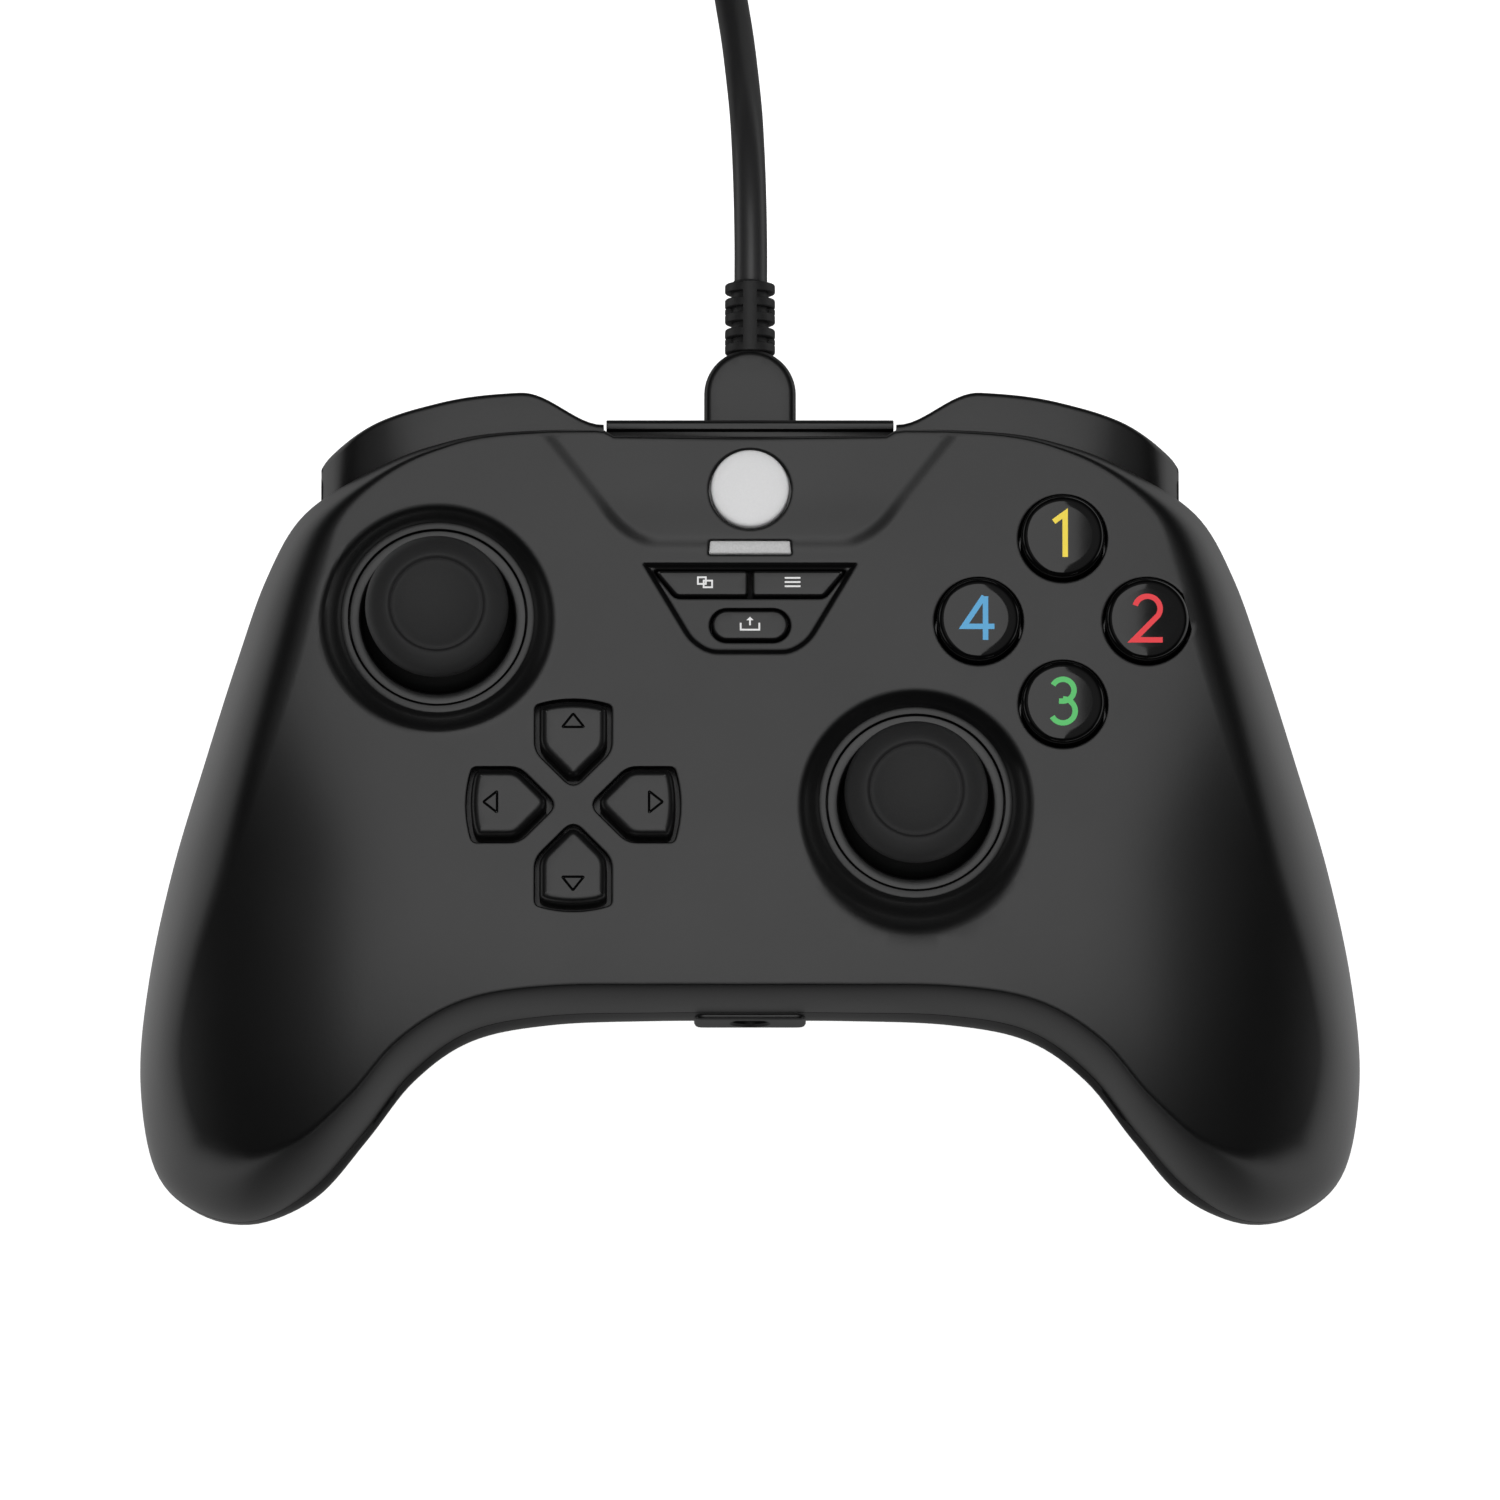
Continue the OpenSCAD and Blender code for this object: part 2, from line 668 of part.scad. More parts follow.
module face_button_mat() {
    color(mat_grey) {
        at(buttons_at, board_top)
            linear_extrude(mat_t)
                union() {
                    square([2 * button_ring, 7.6], center = true);
                    square([7.6, 2 * button_ring], center = true);
                    for (b = BUTTONS)
                        translate(b - buttons_at)
                            circle(3.95);
                }
        for (b = BUTTONS)
            mat_dome(b, 3.4);
    }
}
PAD_LEGS = [for (a = [0:90:270]) dpad_at + 9 * [cos(a), sin(a)]];
module dpad_mat() {
    color(mat_grey) {
        difference() {
            at(dpad_at, board_top)
                cylinder(r = 13.4, h = mat_t);
            at(dpad_at, board_top - 1)
                cylinder(r = 3, h = 5);
        }
        for (p = PAD_LEGS)
            mat_dome(p, 3.4);
    }
}
module dpad_post() {
    color(socket_grey)
        at(dpad_at, board_top)
            difference() {
                cylinder(r = 2.9, h = ball_z - 0.7 - board_top);
                translate([0, 0, ball_z - board_top])
                    sphere(ball_r + run_fit);
            }
}
home_stem_y = home_y - 4;
MENU_STEMS = [[-5.6, menu_y], [5.6, menu_y], [0, share_y], [0, home_stem_y]];
module menu_mat() {
    color(mat_grey) {
        translate([-9.5, share_y - 3.6, board_top])
            cube([19, menu_y + 3.4 - share_y + 3.6, mat_t]);
        translate([-4, menu_y + 3, board_top])
            cube([8, home_stem_y - menu_y - 0.2, mat_t]);
        for (p = MENU_STEMS)
            mat_dome(p, 2.6);
    }
}
base_half = 7.4;
base_top = gimbal_z + 3;
module stick_base(p) {
    color(socket_grey)
        at(p, board_top)
            difference() {
                translate([-base_half, -base_half, 0])
                    cube([2 * base_half, 2 * base_half, base_top - board_top]);
                translate([-base_half + 1, -base_half + 1, 1])
                    cube([2 * base_half - 2, 2 * base_half - 2, 20]);
                translate([0, 0, gimbal_z - board_top])
                    rotate([0, 90, 0])
                        cylinder(r = bail_pin_r + run_fit, h = 40, center = true);
            }
}
module left_stick_base() {
    stick_base(left_stick_at);
}
module right_stick_base() {
    stick_base(right_stick_at);
}
module stick_sensors(p) {
    color(steel)
        at(p, board_top) {
            difference() {
                translate([base_half + 0.05, -4.4, 0])
                    cube([2.6, 8.8, gimbal_z + 2.2 - board_top]);
                translate([0, 0, gimbal_z - board_top])
                    rotate([0, 90, 0])
                        cylinder(r = bail_pin_r + run_fit, h = 20);
            }
            translate([-4.4, -base_half - 2.65, 0])
                cube([8.8, 2.6, gimbal_z + 2.2 - board_top]);
        }
}
module left_stick_sensors() {
    stick_sensors(left_stick_at);
}
module right_stick_sensors() {
    stick_sensors(right_stick_at);
}
jack_from = front_y + 2.3;
module headset_jack() {
    color(gloss_black)
        difference() {
            translate([-4.2, jack_from, jack_z - 2.8])
                cube([8.4, 14, 2.8 + board_low - jack_z]);
            translate([0, jack_from - 1, jack_z])
                rotate([-90, 0, 0])
                    cylinder(r = 1.75, h = 14);
        }
}
socket_y = 36.2;
module cable_socket() {
    color(steel)
        difference() {
            translate([-4.7, socket_y, board_top])
                cube([9.4, 6.2, 3.4]);
            translate([-4.2, socket_y + 0.8, board_top + 0.4])
                cube([8.4, 7, 2.6]);
        }
}
module bumper_switches() {
    color(gloss_black)
        for (m = [-1, 1]) {
            translate([m * switch_x - 1.9, 31.5, pin_z + 2.6])
                cube([3.8, 3.6, 3.2]);
            translate([m * switch_x, 35, pin_z + 4.2])
                rotate([-90, 0, 0])
                    cylinder(r = 0.8, h = 0.6);
        }
}
module housing_screws() {
    color(steel)
        for (s = SCREWS, m = [-1, 1])
            at([m * s[0], s[1]])
                difference() {
                    union() {
                        translate([0, 0, s[2] - 1.7])
                            cylinder(r = 2.4, h = 1.7);
                        translate([0, 0, s[2] - 0.1])
                            cylinder(r = screw_r - 0.15, h = s[3] + 7 - s[2]);
                    }
                    translate([0, 0, s[2] - 2.7])
                        cylinder(r = 1, h = 1.9, $fn = 6);
                }
}
module board_screws() {
    color(steel)
        for (b = BOARD_SCREWS)
            at(b) {
                translate([0, 0, board_low - 1.3])
                    cylinder(r = 1.9, h = 1.3);
                translate([0, 0, board_low - 0.1])
                    cylinder(r = 0.8, h = 7);
            }
}
can_h = 13;
module motor(m) {
    color(steel)
        translate([m * grip_x, motor_y + can_h / 2, motor_z])
            rotate([90, 0, 0])
                difference() {
                    union() {
                        cylinder(r = motor_r - seat_fit, h = can_h);
                        cylinder(r = 2.4, h = can_h + 0.8);
                        cylinder(r = 1, h = can_h + 7.2);
                    }
                    translate([0, 0, -1])
                        cylinder(r = 1.6, h = 1.6);
                }
}
module left_motor() {
    motor(-1);
}
module right_motor() {
    motor(1);
}
module motor_weight(m) {
    color(steel)
        translate([m * grip_x, motor_y - can_h / 2 - 1.2, motor_z])
            rotate([90, 0, 0])
                difference() {
                    linear_extrude(5.6)
                        union() {
                            intersection() {
                                circle(weight_r);
                                polygon([[0, 0], [-27, -10], [-27, -27], [27, -27], [27, -10]]);
                            }
                            circle(2.4);
                        }
                    translate([0, 0, -1])
                        cylinder(r = 1 + run_fit, h = 10);
                }
}
module left_motor_weight() {
    motor_weight(-1);
}
module right_motor_weight() {
    motor_weight(1);
}
module trigger_pins() {
    color(steel)
        for (m = [-1, 1])
            translate([m * (EARS[0] + EARS[1] + ear_t) / 2, pin_y, pin_z])
                rotate([0, 90, 0])
                    cylinder(r = trigger_pin_r, h = EARS[1] - EARS[0] + ear_t + 0.4, center = true);
}
module bumper_pins() {
    color(steel)
        for (m = [-1, 1])
            at([m * lug_at[0], lug_at[1]], frame_low)
                cylinder(r = bumper_pin_r, h = face_z - 5.2 - frame_low);
}

// Sticks: a bail that turns about X, a hub in it that turns about Y, a shaft that slides in the hub
module bail(p) {
    color(pale_grey)
        at(p, gimbal_z)
            difference() {
                union() {
                    cube([11, 11, 2.6], center = true);
                    rotate([0, 90, 0])
                        cylinder(r = bail_pin_r, h = 2 * base_half + 4.6, center = true);
                }
                cube([7.8, 7.8, 10], center = true);
                rotate([90, 0, 0])
                    cylinder(r = trunnion_r + run_fit, h = 20, center = true);
            }
}
module hub(p) {
    color(mat_grey)
        at(p, gimbal_z)
            difference() {
                union() {
                    sphere(3.4);
                    rotate([90, 0, 0])
                        cylinder(r = trunnion_r, h = 10.6, center = true);
                }
                cylinder(r = shaft_r + run_fit, h = 20, center = true);
            }
}
module shaft(p) {
    color(pale_grey)
        at(p, gimbal_z - 3.8)
            cylinder(r = shaft_r, h = 20.6);
}
dome_r = 12.4;
dome_t = 0.8;
dome_turn = 66;
neck_r = 3.8;
function arc(r, a, b, n) = [for (i = [0:n]) let (t = a + (b - a) * i / n) [r * sin(t), r * cos(t)]];
module stick_cap(p) {
    color(rubber_grey)
        at(p, gimbal_z)
            difference() {
                rotate_extrude()
                    polygon(concat(
                        arc(dome_r - dome_t, 0, dome_turn, 12),
                        arc(dome_r, dome_turn, asin(neck_r / dome_r), 10),
                        [
                            [neck_r, 15.4], [4.6, 16.2], [6.6, 17.1], [8.2, 17.9], [cap_r - 0.15, 18.5],
                            [cap_r, 19.1], [cap_r - 0.25, 19.9], [cap_r - 0.9, 20.6], [cap_r - 1.9, 21.1],
                            [6.2, 21.4], [5.7, 21.2], [4, 20.7], [2, 20.5], [0, 20.4]
                        ]
                    ));
                cylinder(r = shaft_r + seat_fit, h = 17);
            }
}
module left_bail() {
    bail(left_stick_at);
}
module left_hub() {
    hub(left_stick_at);
}
module left_shaft() {
    shaft(left_stick_at);
}
module left_stick_cap() {
    stick_cap(left_stick_at);
}
module right_bail() {
    bail(right_stick_at);
}
module right_hub() {
    hub(right_stick_at);
}
module right_shaft() {
    shaft(right_stick_at);
}
module right_stick_cap() {
    stick_cap(right_stick_at);
}

// Direction pad on its ball
ball_z = gimbal_z + 5;
plate_z = face_z - 5;
plate_r = 13.8;
module dpad_ball() {
    color(steel)
        at(dpad_at, ball_z)
            sphere(ball_r);
}
module dpad() {
    color(shell_black)
        at(dpad_at)
            difference() {
                union() {
                    translate([0, 0, plate_z])
                        cylinder(r = plate_r, h = 1.4);
                    for (a = [0:90:270])
                        rotate(a) {
                            translate([0, 0, plate_z + 0.2])
                                linear_extrude(face_z + pad_rise - 0.9 - plate_z - 0.2)
                                    polygon(pad_line(pad_gap));
                            frustum(
                                pad_line(pad_gap), pad_line(pad_gap + 0.8),
                                face_z + pad_rise - 0.9, face_z + pad_rise
                            );
                            translate([9, 0, stem_z])
                                cylinder(r = 2, h = plate_z - stem_z + 0.2);
                        }
                    translate([0, 0, plate_z + 1.3])
                        cylinder(r = 3.4, h = 1.1);
                }
                translate([0, 0, ball_z])
                    sphere(ball_r + run_fit);
            }
}

// Buttons
module face_button(p) {
    color(gloss_black)
        at(p)
            rotate_extrude()
                polygon([
                    [0, stem_z], [2.6, stem_z], [2.6, guide_low - 1.5], [button_r + 1, guide_low - 1.5],
                    [button_r + 1, guide_low - 0.3], [button_r, guide_low - 0.3],
                    [button_r, face_z + button_rise - 0.75], [button_r - 0.12, face_z + button_rise - 0.4],
                    [button_r - 0.52, face_z + button_rise], [button_r - 2, face_z + button_rise + 0.12],
                    [0, face_z + button_rise + 0.2]
                ]);
}
module button_top() {
    face_button(BUTTONS[0]);
}
module button_right() {
    face_button(BUTTONS[1]);
}
module button_bottom() {
    face_button(BUTTONS[2]);
}
module button_left() {
    face_button(BUTTONS[3]);
}
module home_button() {
    color(pale_grey) {
        at(home_at)
            rotate_extrude()
                polygon([
                    [0, face_under - 1.5], [home_r + 0.5, face_under - 1.5],
                    [home_r + 0.5, face_under - 0.5], [home_r, face_under - 0.5],
                    [home_r, face_z + panel_rise + 0.3], [home_r - 0.5, face_z + panel_rise + 0.7],
                    [0, face_z + panel_rise + 0.9]
                ]);
        at([0, home_stem_y], stem_z)
            cylinder(r = 1.5, h = face_under - 1 - stem_z);
    }
}
module small_button(m) {
    line = [for (p = MENU) [m * p[0], p[1]]];
    color(shell_black) {
        translate([0, 0, face_under - 1.4])
            linear_extrude(wall + 1.4 - 0.2)
                polygon(line);
        translate([m * 5.6 - 5.2, menu_y - 1.5, face_under - 1.5])
            cube([10.4, 3, 1.1]);
        translate([m * 5.6, menu_y, stem_z])
            cylinder(r = 1.5, h = face_under - 1 - stem_z);
        translate([m * 11.4 - 0.9, menu_y + 0.2, face_under - 1.5])
            cube([1.8, 1.3, 1.1]);
    }
}
module view_button() {
    small_button(-1);
}
module menu_button() {
    small_button(1);
}
module share_button() {
    color(shell_black)
        translate([0, share_y, 0]) {
            translate([0, 0, face_under - 1.4])
                capsule(share_w, share_t, wall + 1.4 - 0.3);
            translate([0, 0, face_under - 1.5])
                capsule(share_w + 1.6, share_t - 1, 1.1);
            translate([0, 0, stem_z])
                cylinder(r = 1.5, h = face_under - 1 - stem_z);
        }
}

// Bumpers: a bent section carried along the rear edge, cut off square at the shoulder
bumper_start = bridge_half + 0.33;
bumper_end = half_shoulder - 2.45;
bumper_corner = 1.5;
bumper_edge = 0.6;
bumper_fall = 9;
bumper_low = face_z - 15.2;
BUMPER_STEPS = 16;
function bumper_out(x) =
    0.8 + (bumper_reach - 0.8) * smooth(bumper_start + 0.2, bumper_start + 10.2, x)
    - 1.1 * smooth(bumper_end - 9.8, bumper_end + 0.2, x);
function bumper_point(q, out) = xy(edge_at(q)) - inward(q) * out;
function bumper_skin(q, inset) = bumper_point(q, bumper_out(edge_at(q)[0]) - inset);
// Place on the edge, between two others, where a bumper's outer skin reaches x
function skin_place(x, low, high) =
    let (mid = (low + high) / 2)
    high - low < 0.0001 ? mid
    : bumper_skin(mid, 0)[0] < x ? skin_place(x, mid, high)
    : skin_place(x, low, mid);
BUMPER_FROM = skin_place(bumper_start, 10, 12);
BUMPER_TO = 13.92;
function bumper_section(q) =
    let (
        w = bumper_out(edge_at(q)[0]),
        top = seam_z(FRONT, edge_at(q)) - 0.4,
        back = w - bumper_wall,
        line = [
            [-1.9, top], [0.5, top], [max(0.55, w - bumper_edge), top],
            [max(0.62, w - 0.3 * bumper_edge), top - 0.3 * bumper_edge], [w, top - bumper_edge],
            [w, bumper_low], [back, bumper_low], [back, top - bumper_wall - 0.5],
            [min(back - 0.1, max(0.2, back - 0.6)), top - bumper_wall], [-1.9, top - bumper_wall]
        ]
    )
    [for (l = line) concat(bumper_point(q, l[0]), l[1])];
SECTION_END = [
    [0, 9, 1], [1, 9, 8], [1, 8, 2], [2, 8, 3], [3, 8, 7], [3, 7, 4], [4, 7, 5], [5, 7, 6]
];
module bumper_sweep() {
    rows = [
        for (i = [0:BUMPER_STEPS])
            bumper_section(BUMPER_FROM + (BUMPER_TO - BUMPER_FROM) * i / BUMPER_STEPS)
    ];
    n = len(rows[0]);
    polyhedron(
        points = [for (r = rows) for (p = r) p],
        faces = concat(
            SECTION_END,
            shifted(turned(SECTION_END), BUMPER_STEPS * n),
            [
                for (i = [0:BUMPER_STEPS - 1]) for (k = [0:n - 1])
                    let (a = i * n + k, b = i * n + (k + 1) % n)
                    for (f = [[a, b, b + n], [a, b + n, a + n]]) f
            ]
        )
    );
}
// Plan that the sweep is cut to: square at the shoulder, with a rounded outer corner
module bumper_plan() {
    q = skin_place(bumper_end, 13, 14);
    n = -inward(q);
    centre = [bumper_end - bumper_corner, bumper_skin(q, 0)[1] - bumper_corner * (1 - n[0]) / n[1]];
    translate([0, 20])
        square([centre[0], 40]);
    translate([0, 20])
        square([bumper_end, centre[1] - 20]);
    translate(centre)
        circle(bumper_corner);
}
// Side view that the sweep is cut to: its top falls away round the shoulder
module bumper_side() {
    middle = [bumper_end - bumper_fall, bumper_low + 0.5];
    translate([0, bumper_low - 1])
        square([middle[0], 20]);
    translate([0, bumper_low - 1])
        square([bumper_end, 1.5]);
    translate(middle)
        circle(bumper_fall);
}
module bumper(m) {
    color(shell_black)
        mirror([m < 0 ? 1 : 0, 0, 0])
            difference() {
                union() {
                    intersection() {
                        bumper_sweep();
                        linear_extrude(face_z)
                            bumper_plan();
                        translate([0, 60, 0])
                            rotate([90, 0, 0])
                                linear_extrude(40)
                                    bumper_side();
                    }
                    at(lug_at, face_z - 11.6)
                        cylinder(r = 2.3, h = 6.2);
                    translate([lug_at[0] - 1.6, lug_at[1], face_z - 8.8])
                        cube([3.4, 3.2, 3.4]);
                }
                at(lug_at, face_z - 20)
                    cylinder(r = bumper_pin_r + run_fit, h = 19);
            }
}
module left_bumper() {
    bumper(-1);
}
module right_bumper() {
    bumper(1);
}

// Triggers
TRIGGER = [
    [40, pin_z + 1.4], [46, pin_z + 0.2], [48.6, pin_z - 1], [49.8, pin_z - 3], [50.2, pin_z - 7],
    [49.4, pin_z - 12], [48, pin_z - 16], [48.4, pin_z - 19], [49.6, pin_z - 21.4], [48.6, pin_z - 22.2],
    [46.4, pin_z - 21.2], [43.6, pin_z - 18.6], [41, pin_z - 15], [39, pin_z - 10.5], [37.6, pin_z - 5],
    [37, pin_z - 2.6], [37, pin_z + 2.4]
];
trigger_inset = 0.7;
TRIGGER_ENDS = [skin_place(trigger_x - trigger_w / 2 - 1, 10, 12), skin_place(EARS[1] + 1, 11, 14)];
TRIGGER_STEPS = 8;
TRIGGER_PLAN = concat(
    [[trigger_x + trigger_w / 2 + 2, 30], [trigger_x - trigger_w / 2 - 2, 30]],
    [
        for (i = [0:TRIGGER_STEPS])
            let (share = i / TRIGGER_STEPS)
            bumper_skin(TRIGGER_ENDS[0] * (1 - share) + TRIGGER_ENDS[1] * share, trigger_inset)
    ]
);
module trigger(m) {
    color(shell_black)
        mirror([m < 0 ? 1 : 0, 0, 0])
            difference() {
                union() {
                    intersection() {
                        translate([trigger_x - trigger_w / 2, 0, 0])
                            rotate([90, 0, 90])
                                linear_extrude(trigger_w)
                                    polygon(TRIGGER);
                        linear_extrude(face_z)
                            polygon(TRIGGER_PLAN);
                    }
                    translate([trigger_x, pin_y, pin_z])
                        rotate([0, 90, 0])
                            cylinder(r = 2.7, h = trigger_w, center = true);
                }
                translate([trigger_x, pin_y, pin_z])
                    rotate([0, 90, 0])
                        cylinder(r = trigger_pin_r + run_fit, h = trigger_w + 2, center = true);
                translate([trigger_x - 2.4, 30, pin_z - 4.4])
                    cube([4.8, 11.6, 12]);
            }
}
module left_trigger() {
    trigger(-1);
}
module right_trigger() {
    trigger(1);
}
module trigger_spring(m) {
    r = trigger_pin_r + 0.35 + spring_wire / 2;
    color(steel)
        translate([m * trigger_x, pin_y, pin_z])
            rotate([0, 90, 0]) {
                for (k = [-2:2])
                    translate([0, 0, k * (spring_wire + 0.02)])
                        rotate_extrude()
                            translate([r, 0])
                                circle(spring_wire / 2 + 0.03);
                translate([r, 0, 2 * (spring_wire + 0.02)])
                    rotate(12)
                        rotate([90, 0, 0])
                            cylinder(r = spring_wire / 2, h = 6);
                translate([r, 0, -2 * (spring_wire + 0.02)])
                    rotate([-90, 0, 0])
                        cylinder(r = spring_wire / 2, h = 3.4);
            }
}
module left_trigger_spring() {
    trigger_spring(-1);
}
module right_trigger_spring() {
    trigger_spring(1);
}

// Cable: plug head, relief, a run down to the table, and the rest wound in a tied coil
head_from = 42.6;
head_to = 57;
relief_to = 66;
cord_r = cord_d / 2;
relief_seat_r = 2.6;
// Half of the head's section from its middle to its rounded side
HEAD_SIDE = [
    [0, -plug_t / 2], for (k = [-1, 1], i = [0:3])
        let (
            turn = k < 0 ? -90 + 30 * i : 30 * i,
            centre = [plug_w / 2 - plug_edge, k * (plug_t / 2 - plug_edge)]
        )
        centre + plug_edge * [cos(turn), sin(turn)],
    [0, plug_t / 2]
];
module cable_plug() {
    color(shell_black)
        difference() {
            hull() {
                translate([0, head_from, usb_z])
                    rotate([-90, 0, 0])
                        rounded_bar(plug_w, plug_t, plug_edge, 1, $fn = 12);
                translate([0, head_to - plug_w / 2, usb_z])
                    rotate_extrude($fn = 32)
                        polygon(HEAD_SIDE);
            }
            translate([0, head_to - 4, usb_z])
                rotate([-90, 0, 0])
                    cylinder(r = relief_seat_r, h = 10);
        }
}
module plug_tongue() {
    color(steel)
        translate([-4.1, socket_y + 1.6, usb_z - 1.2])
            cube([8.2, head_from - socket_y - 1.6, 2.4]);
}
relief_r = 3.15;
relief_core_r = 2.35;
slot_w = 0.75;
slot_step = 1.93;
spine_w = 1.7;
web_t = 1.2;
// Slot round the relief's core: open at both sides of the spines, and webbed at the sides in every other one
module relief_slot(k) {
    translate([0, head_to + 1.05 + k * slot_step, usb_z])
        rotate([-90, 0, 0])
            difference() {
                cylinder(r = relief_r + 1, h = slot_w);
                translate([0, 0, -1])
                    cylinder(r = relief_core_r, h = slot_w + 2);
                cube([spine_w, 4 * relief_r, 4], center = true);
                if (k % 2 == 0)
                    cube([4 * relief_r, web_t, 4], center = true);
            }
}
module strain_relief() {
    color(rubber_grey)
        difference() {
            translate([0, head_to - 3.9, usb_z])
                rotate([-90, 0, 0]) {
                    cylinder(r = relief_seat_r - 0.05, h = 5);
                    translate([0, 0, 3.95])
                        cylinder(r = relief_r, h = relief_to - head_to - 0.05);
                }
            for (k = [0:3])
                relief_slot(k);
        }
}
RUN = [
    [0.1, relief_to, usb_z], [0.1, relief_to + 5, usb_z], [0, 77, 28.7], [-0.2, 83, 26.8],
    [-0.5, 89, 23.3], [-1, 95, 18.4], [-1.6, 101, 13], [-2.4, 107, 8.2], [-3.2, 113, 5], [-4, 119, 3.6],
    [-4.6, 125, 3.25], [-5, 131, 3.2], [-5.2, 137, 3.2], [-5.2, 142, 3.2]
];
tie_t = 0.8;
tie_gap = 0.3;
coil_low = tie_t + tie_gap + cord_r;
turn_step = cord_d + turn_gap;
coil_out = 33;
COIL_AT = [RUN[13][0] - coil_out, RUN[13][1] + cord_d + 1];
coil_turns = 4 * layer_turns;
LOOP_RINGS = 24;
tail_out = 6.6;
plug_axis_z = 4.3;
// Distance travelled in from the outermost turn, as the spiral runs in and out again
function wave(t) = let (f = t / layer_turns, k = floor(f), s = f - k) (k % 2 == 0 ? s : 1 - s) * layer_turns;
function layer_rise(t) =
    turn_step * (smooth(-0.25, 0.25, t - layer_turns) + smooth(-0.25, 0.25, t - 2 * layer_turns)
    + smooth(-0.25, 0.25, t - 3 * layer_turns));
function coil_point(t) =
    let (
        past = max(0, t - coil_turns),
        down = smooth(0.08, 0.5, past),
        r = coil_out - turn_step * wave(min(t, coil_turns - 0.0001)) + tail_out * smooth(0, 0.3, past),
        z = coil_low + layer_rise(t),
        a = 360 * t
    )
    [COIL_AT[0] + r * cos(a), COIL_AT[1] + r * sin(a), z + (plug_axis_z - z) * down];
COIL_END = coil_point(coil_turns + 0.5);
plug_dir = let (d = COIL_END - coil_point(coil_turns + 0.498)) d / norm(d);
COIL = concat(
    [RUN[13], RUN[13] + [0, cord_d, 0]],
    [for (i = [1:ceil((coil_turns + 0.5) * LOOP_RINGS) - 1]) coil_point(i / LOOP_RINGS)],
    [COIL_END + [0, 0, 0], COIL_END + plug_dir * (cord_d + 1)]
);
function unit(v) = v / norm(v);
function ring_at(path, i, r, n) =
    let (
        last = len(path) - 1,
        d = unit(path[min(last, i + 1)] - path[max(0, i - 1)]),
        side = unit(cross(d, [0, 0, 1])),
        up = cross(side, d)
    )
    [for (k = [0:n - 1]) path[i] + r * (cos(360 * (k + 0.5) / n) * side + sin(360 * (k + 0.5) / n) * up)];
module tube(path, r, n) {
    rows = len(path);
    polyhedron(
        points = [for (i = [0:rows - 1]) for (p = ring_at(path, i, r, n)) p],
        faces = concat(
            [[for (k = [0:n - 1]) n - 1 - k]],
            [[for (k = [0:n - 1]) (rows - 1) * n + k]],
            [
                for (i = [0:rows - 2]) for (k = [0:n - 1])
                    let (a = i * n + k, b = i * n + (k + 1) % n)
                    for (f = [[a, b + n, a + n], [a, b, b + n]]) f
            ]
        )
    );
}
module cord_run() {
    color(gloss_black)
        tube(RUN, cord_r, 8);
}
function least_gap(path, skip) = min([
    for (i = [0:len(path) - 1 - skip])
        min([for (j = [i + skip:len(path) - 1]) norm(path[i] - path[j])])
]) - cord_d;
function path_length(path) = sum([for (i = [1:len(path) - 1]) norm(path[i] - path[i - 1])]);
function sum(list) = list * [for (v = list) 1];
module cord_coil() {
    echo(least_gap_of_coil = least_gap(COIL, LOOP_RINGS / 2));
    echo(cord_length = path_length(COIL) + path_length(RUN));
    color(gloss_black)
        tube(COIL, cord_r, 6);
}
TIE_ANGLE = 200;
module coil_tie() {
    low = coil_out - turn_step * layer_turns - turn_step / 2 - cord_r - tie_gap;
    high = coil_out + cord_r + tie_gap + 0.4;
    tall = 3 * turn_step + cord_d + 2 * tie_gap;
    color(rubber_grey)
        at(COIL_AT)
            rotate(TIE_ANGLE)
                translate([0, -4, 0])
                    difference() {
                        translate([low - tie_t, 0, 0])
                            cube([high - low + 2 * tie_t, 8, tall + 2 * tie_t]);
                        translate([low, -1, tie_t])
                            cube([high - low, 10, tall]);
                    }
}
PLUG_FROM = COIL_END + plug_dir * (cord_d + 1.02);
module along_plug() {
    translate(PLUG_FROM)
        rotate([0, 0, atan2(plug_dir[1], plug_dir[0])])
            rotate([0, 90, 0])
                children();
}
module usb_plug_grip() {
    color(gloss_black)
        along_plug() {
            cylinder(r1 = 2.9, r2 = 3.4, h = 7);
            translate([-4, -7.5, 6.8])
                cube([8, 15, 21]);
        }
}
module usb_plug_shell() {
    color(steel)
        along_plug()
            translate([0, 0, 27.8])
                difference() {
                    translate([-2.25, -6, 0])
                        cube([4.5, 12, 12]);
                    translate([-0.4, -5.6, 1])
                        cube([2.25, 11.2, 12]);
                }
}

front_shell();
rear_shell();
bridge();
left_stick_ring();
right_stick_ring();
light_bar();
main_board();
mid_frame();
face_button_mat();
dpad_mat();
dpad_post();
menu_mat();
left_stick_base();
right_stick_base();
left_stick_sensors();
right_stick_sensors();
headset_jack();
cable_socket();
bumper_switches();
housing_screws();
board_screws();
left_motor();
right_motor();
trigger_pins();
bumper_pins();
left_bail();
left_hub();
left_shaft();
left_stick_cap();
right_bail();
right_hub();
right_shaft();
right_stick_cap();
dpad_ball();
dpad();
button_top();
button_right();
button_bottom();
button_left();
home_button();
view_button();
menu_button();
share_button();
left_bumper();
right_bumper();
left_trigger();
right_trigger();
left_trigger_spring();
right_trigger_spring();
left_motor_weight();
right_motor_weight();
cable_plug();
plug_tongue();
strain_relief();
cord_run();
cord_coil();
coil_tie();
usb_plug_grip();
usb_plug_shell();
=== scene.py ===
"""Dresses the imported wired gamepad: moulded skins, trim, prints, cord and finishes round the fixed frame."""

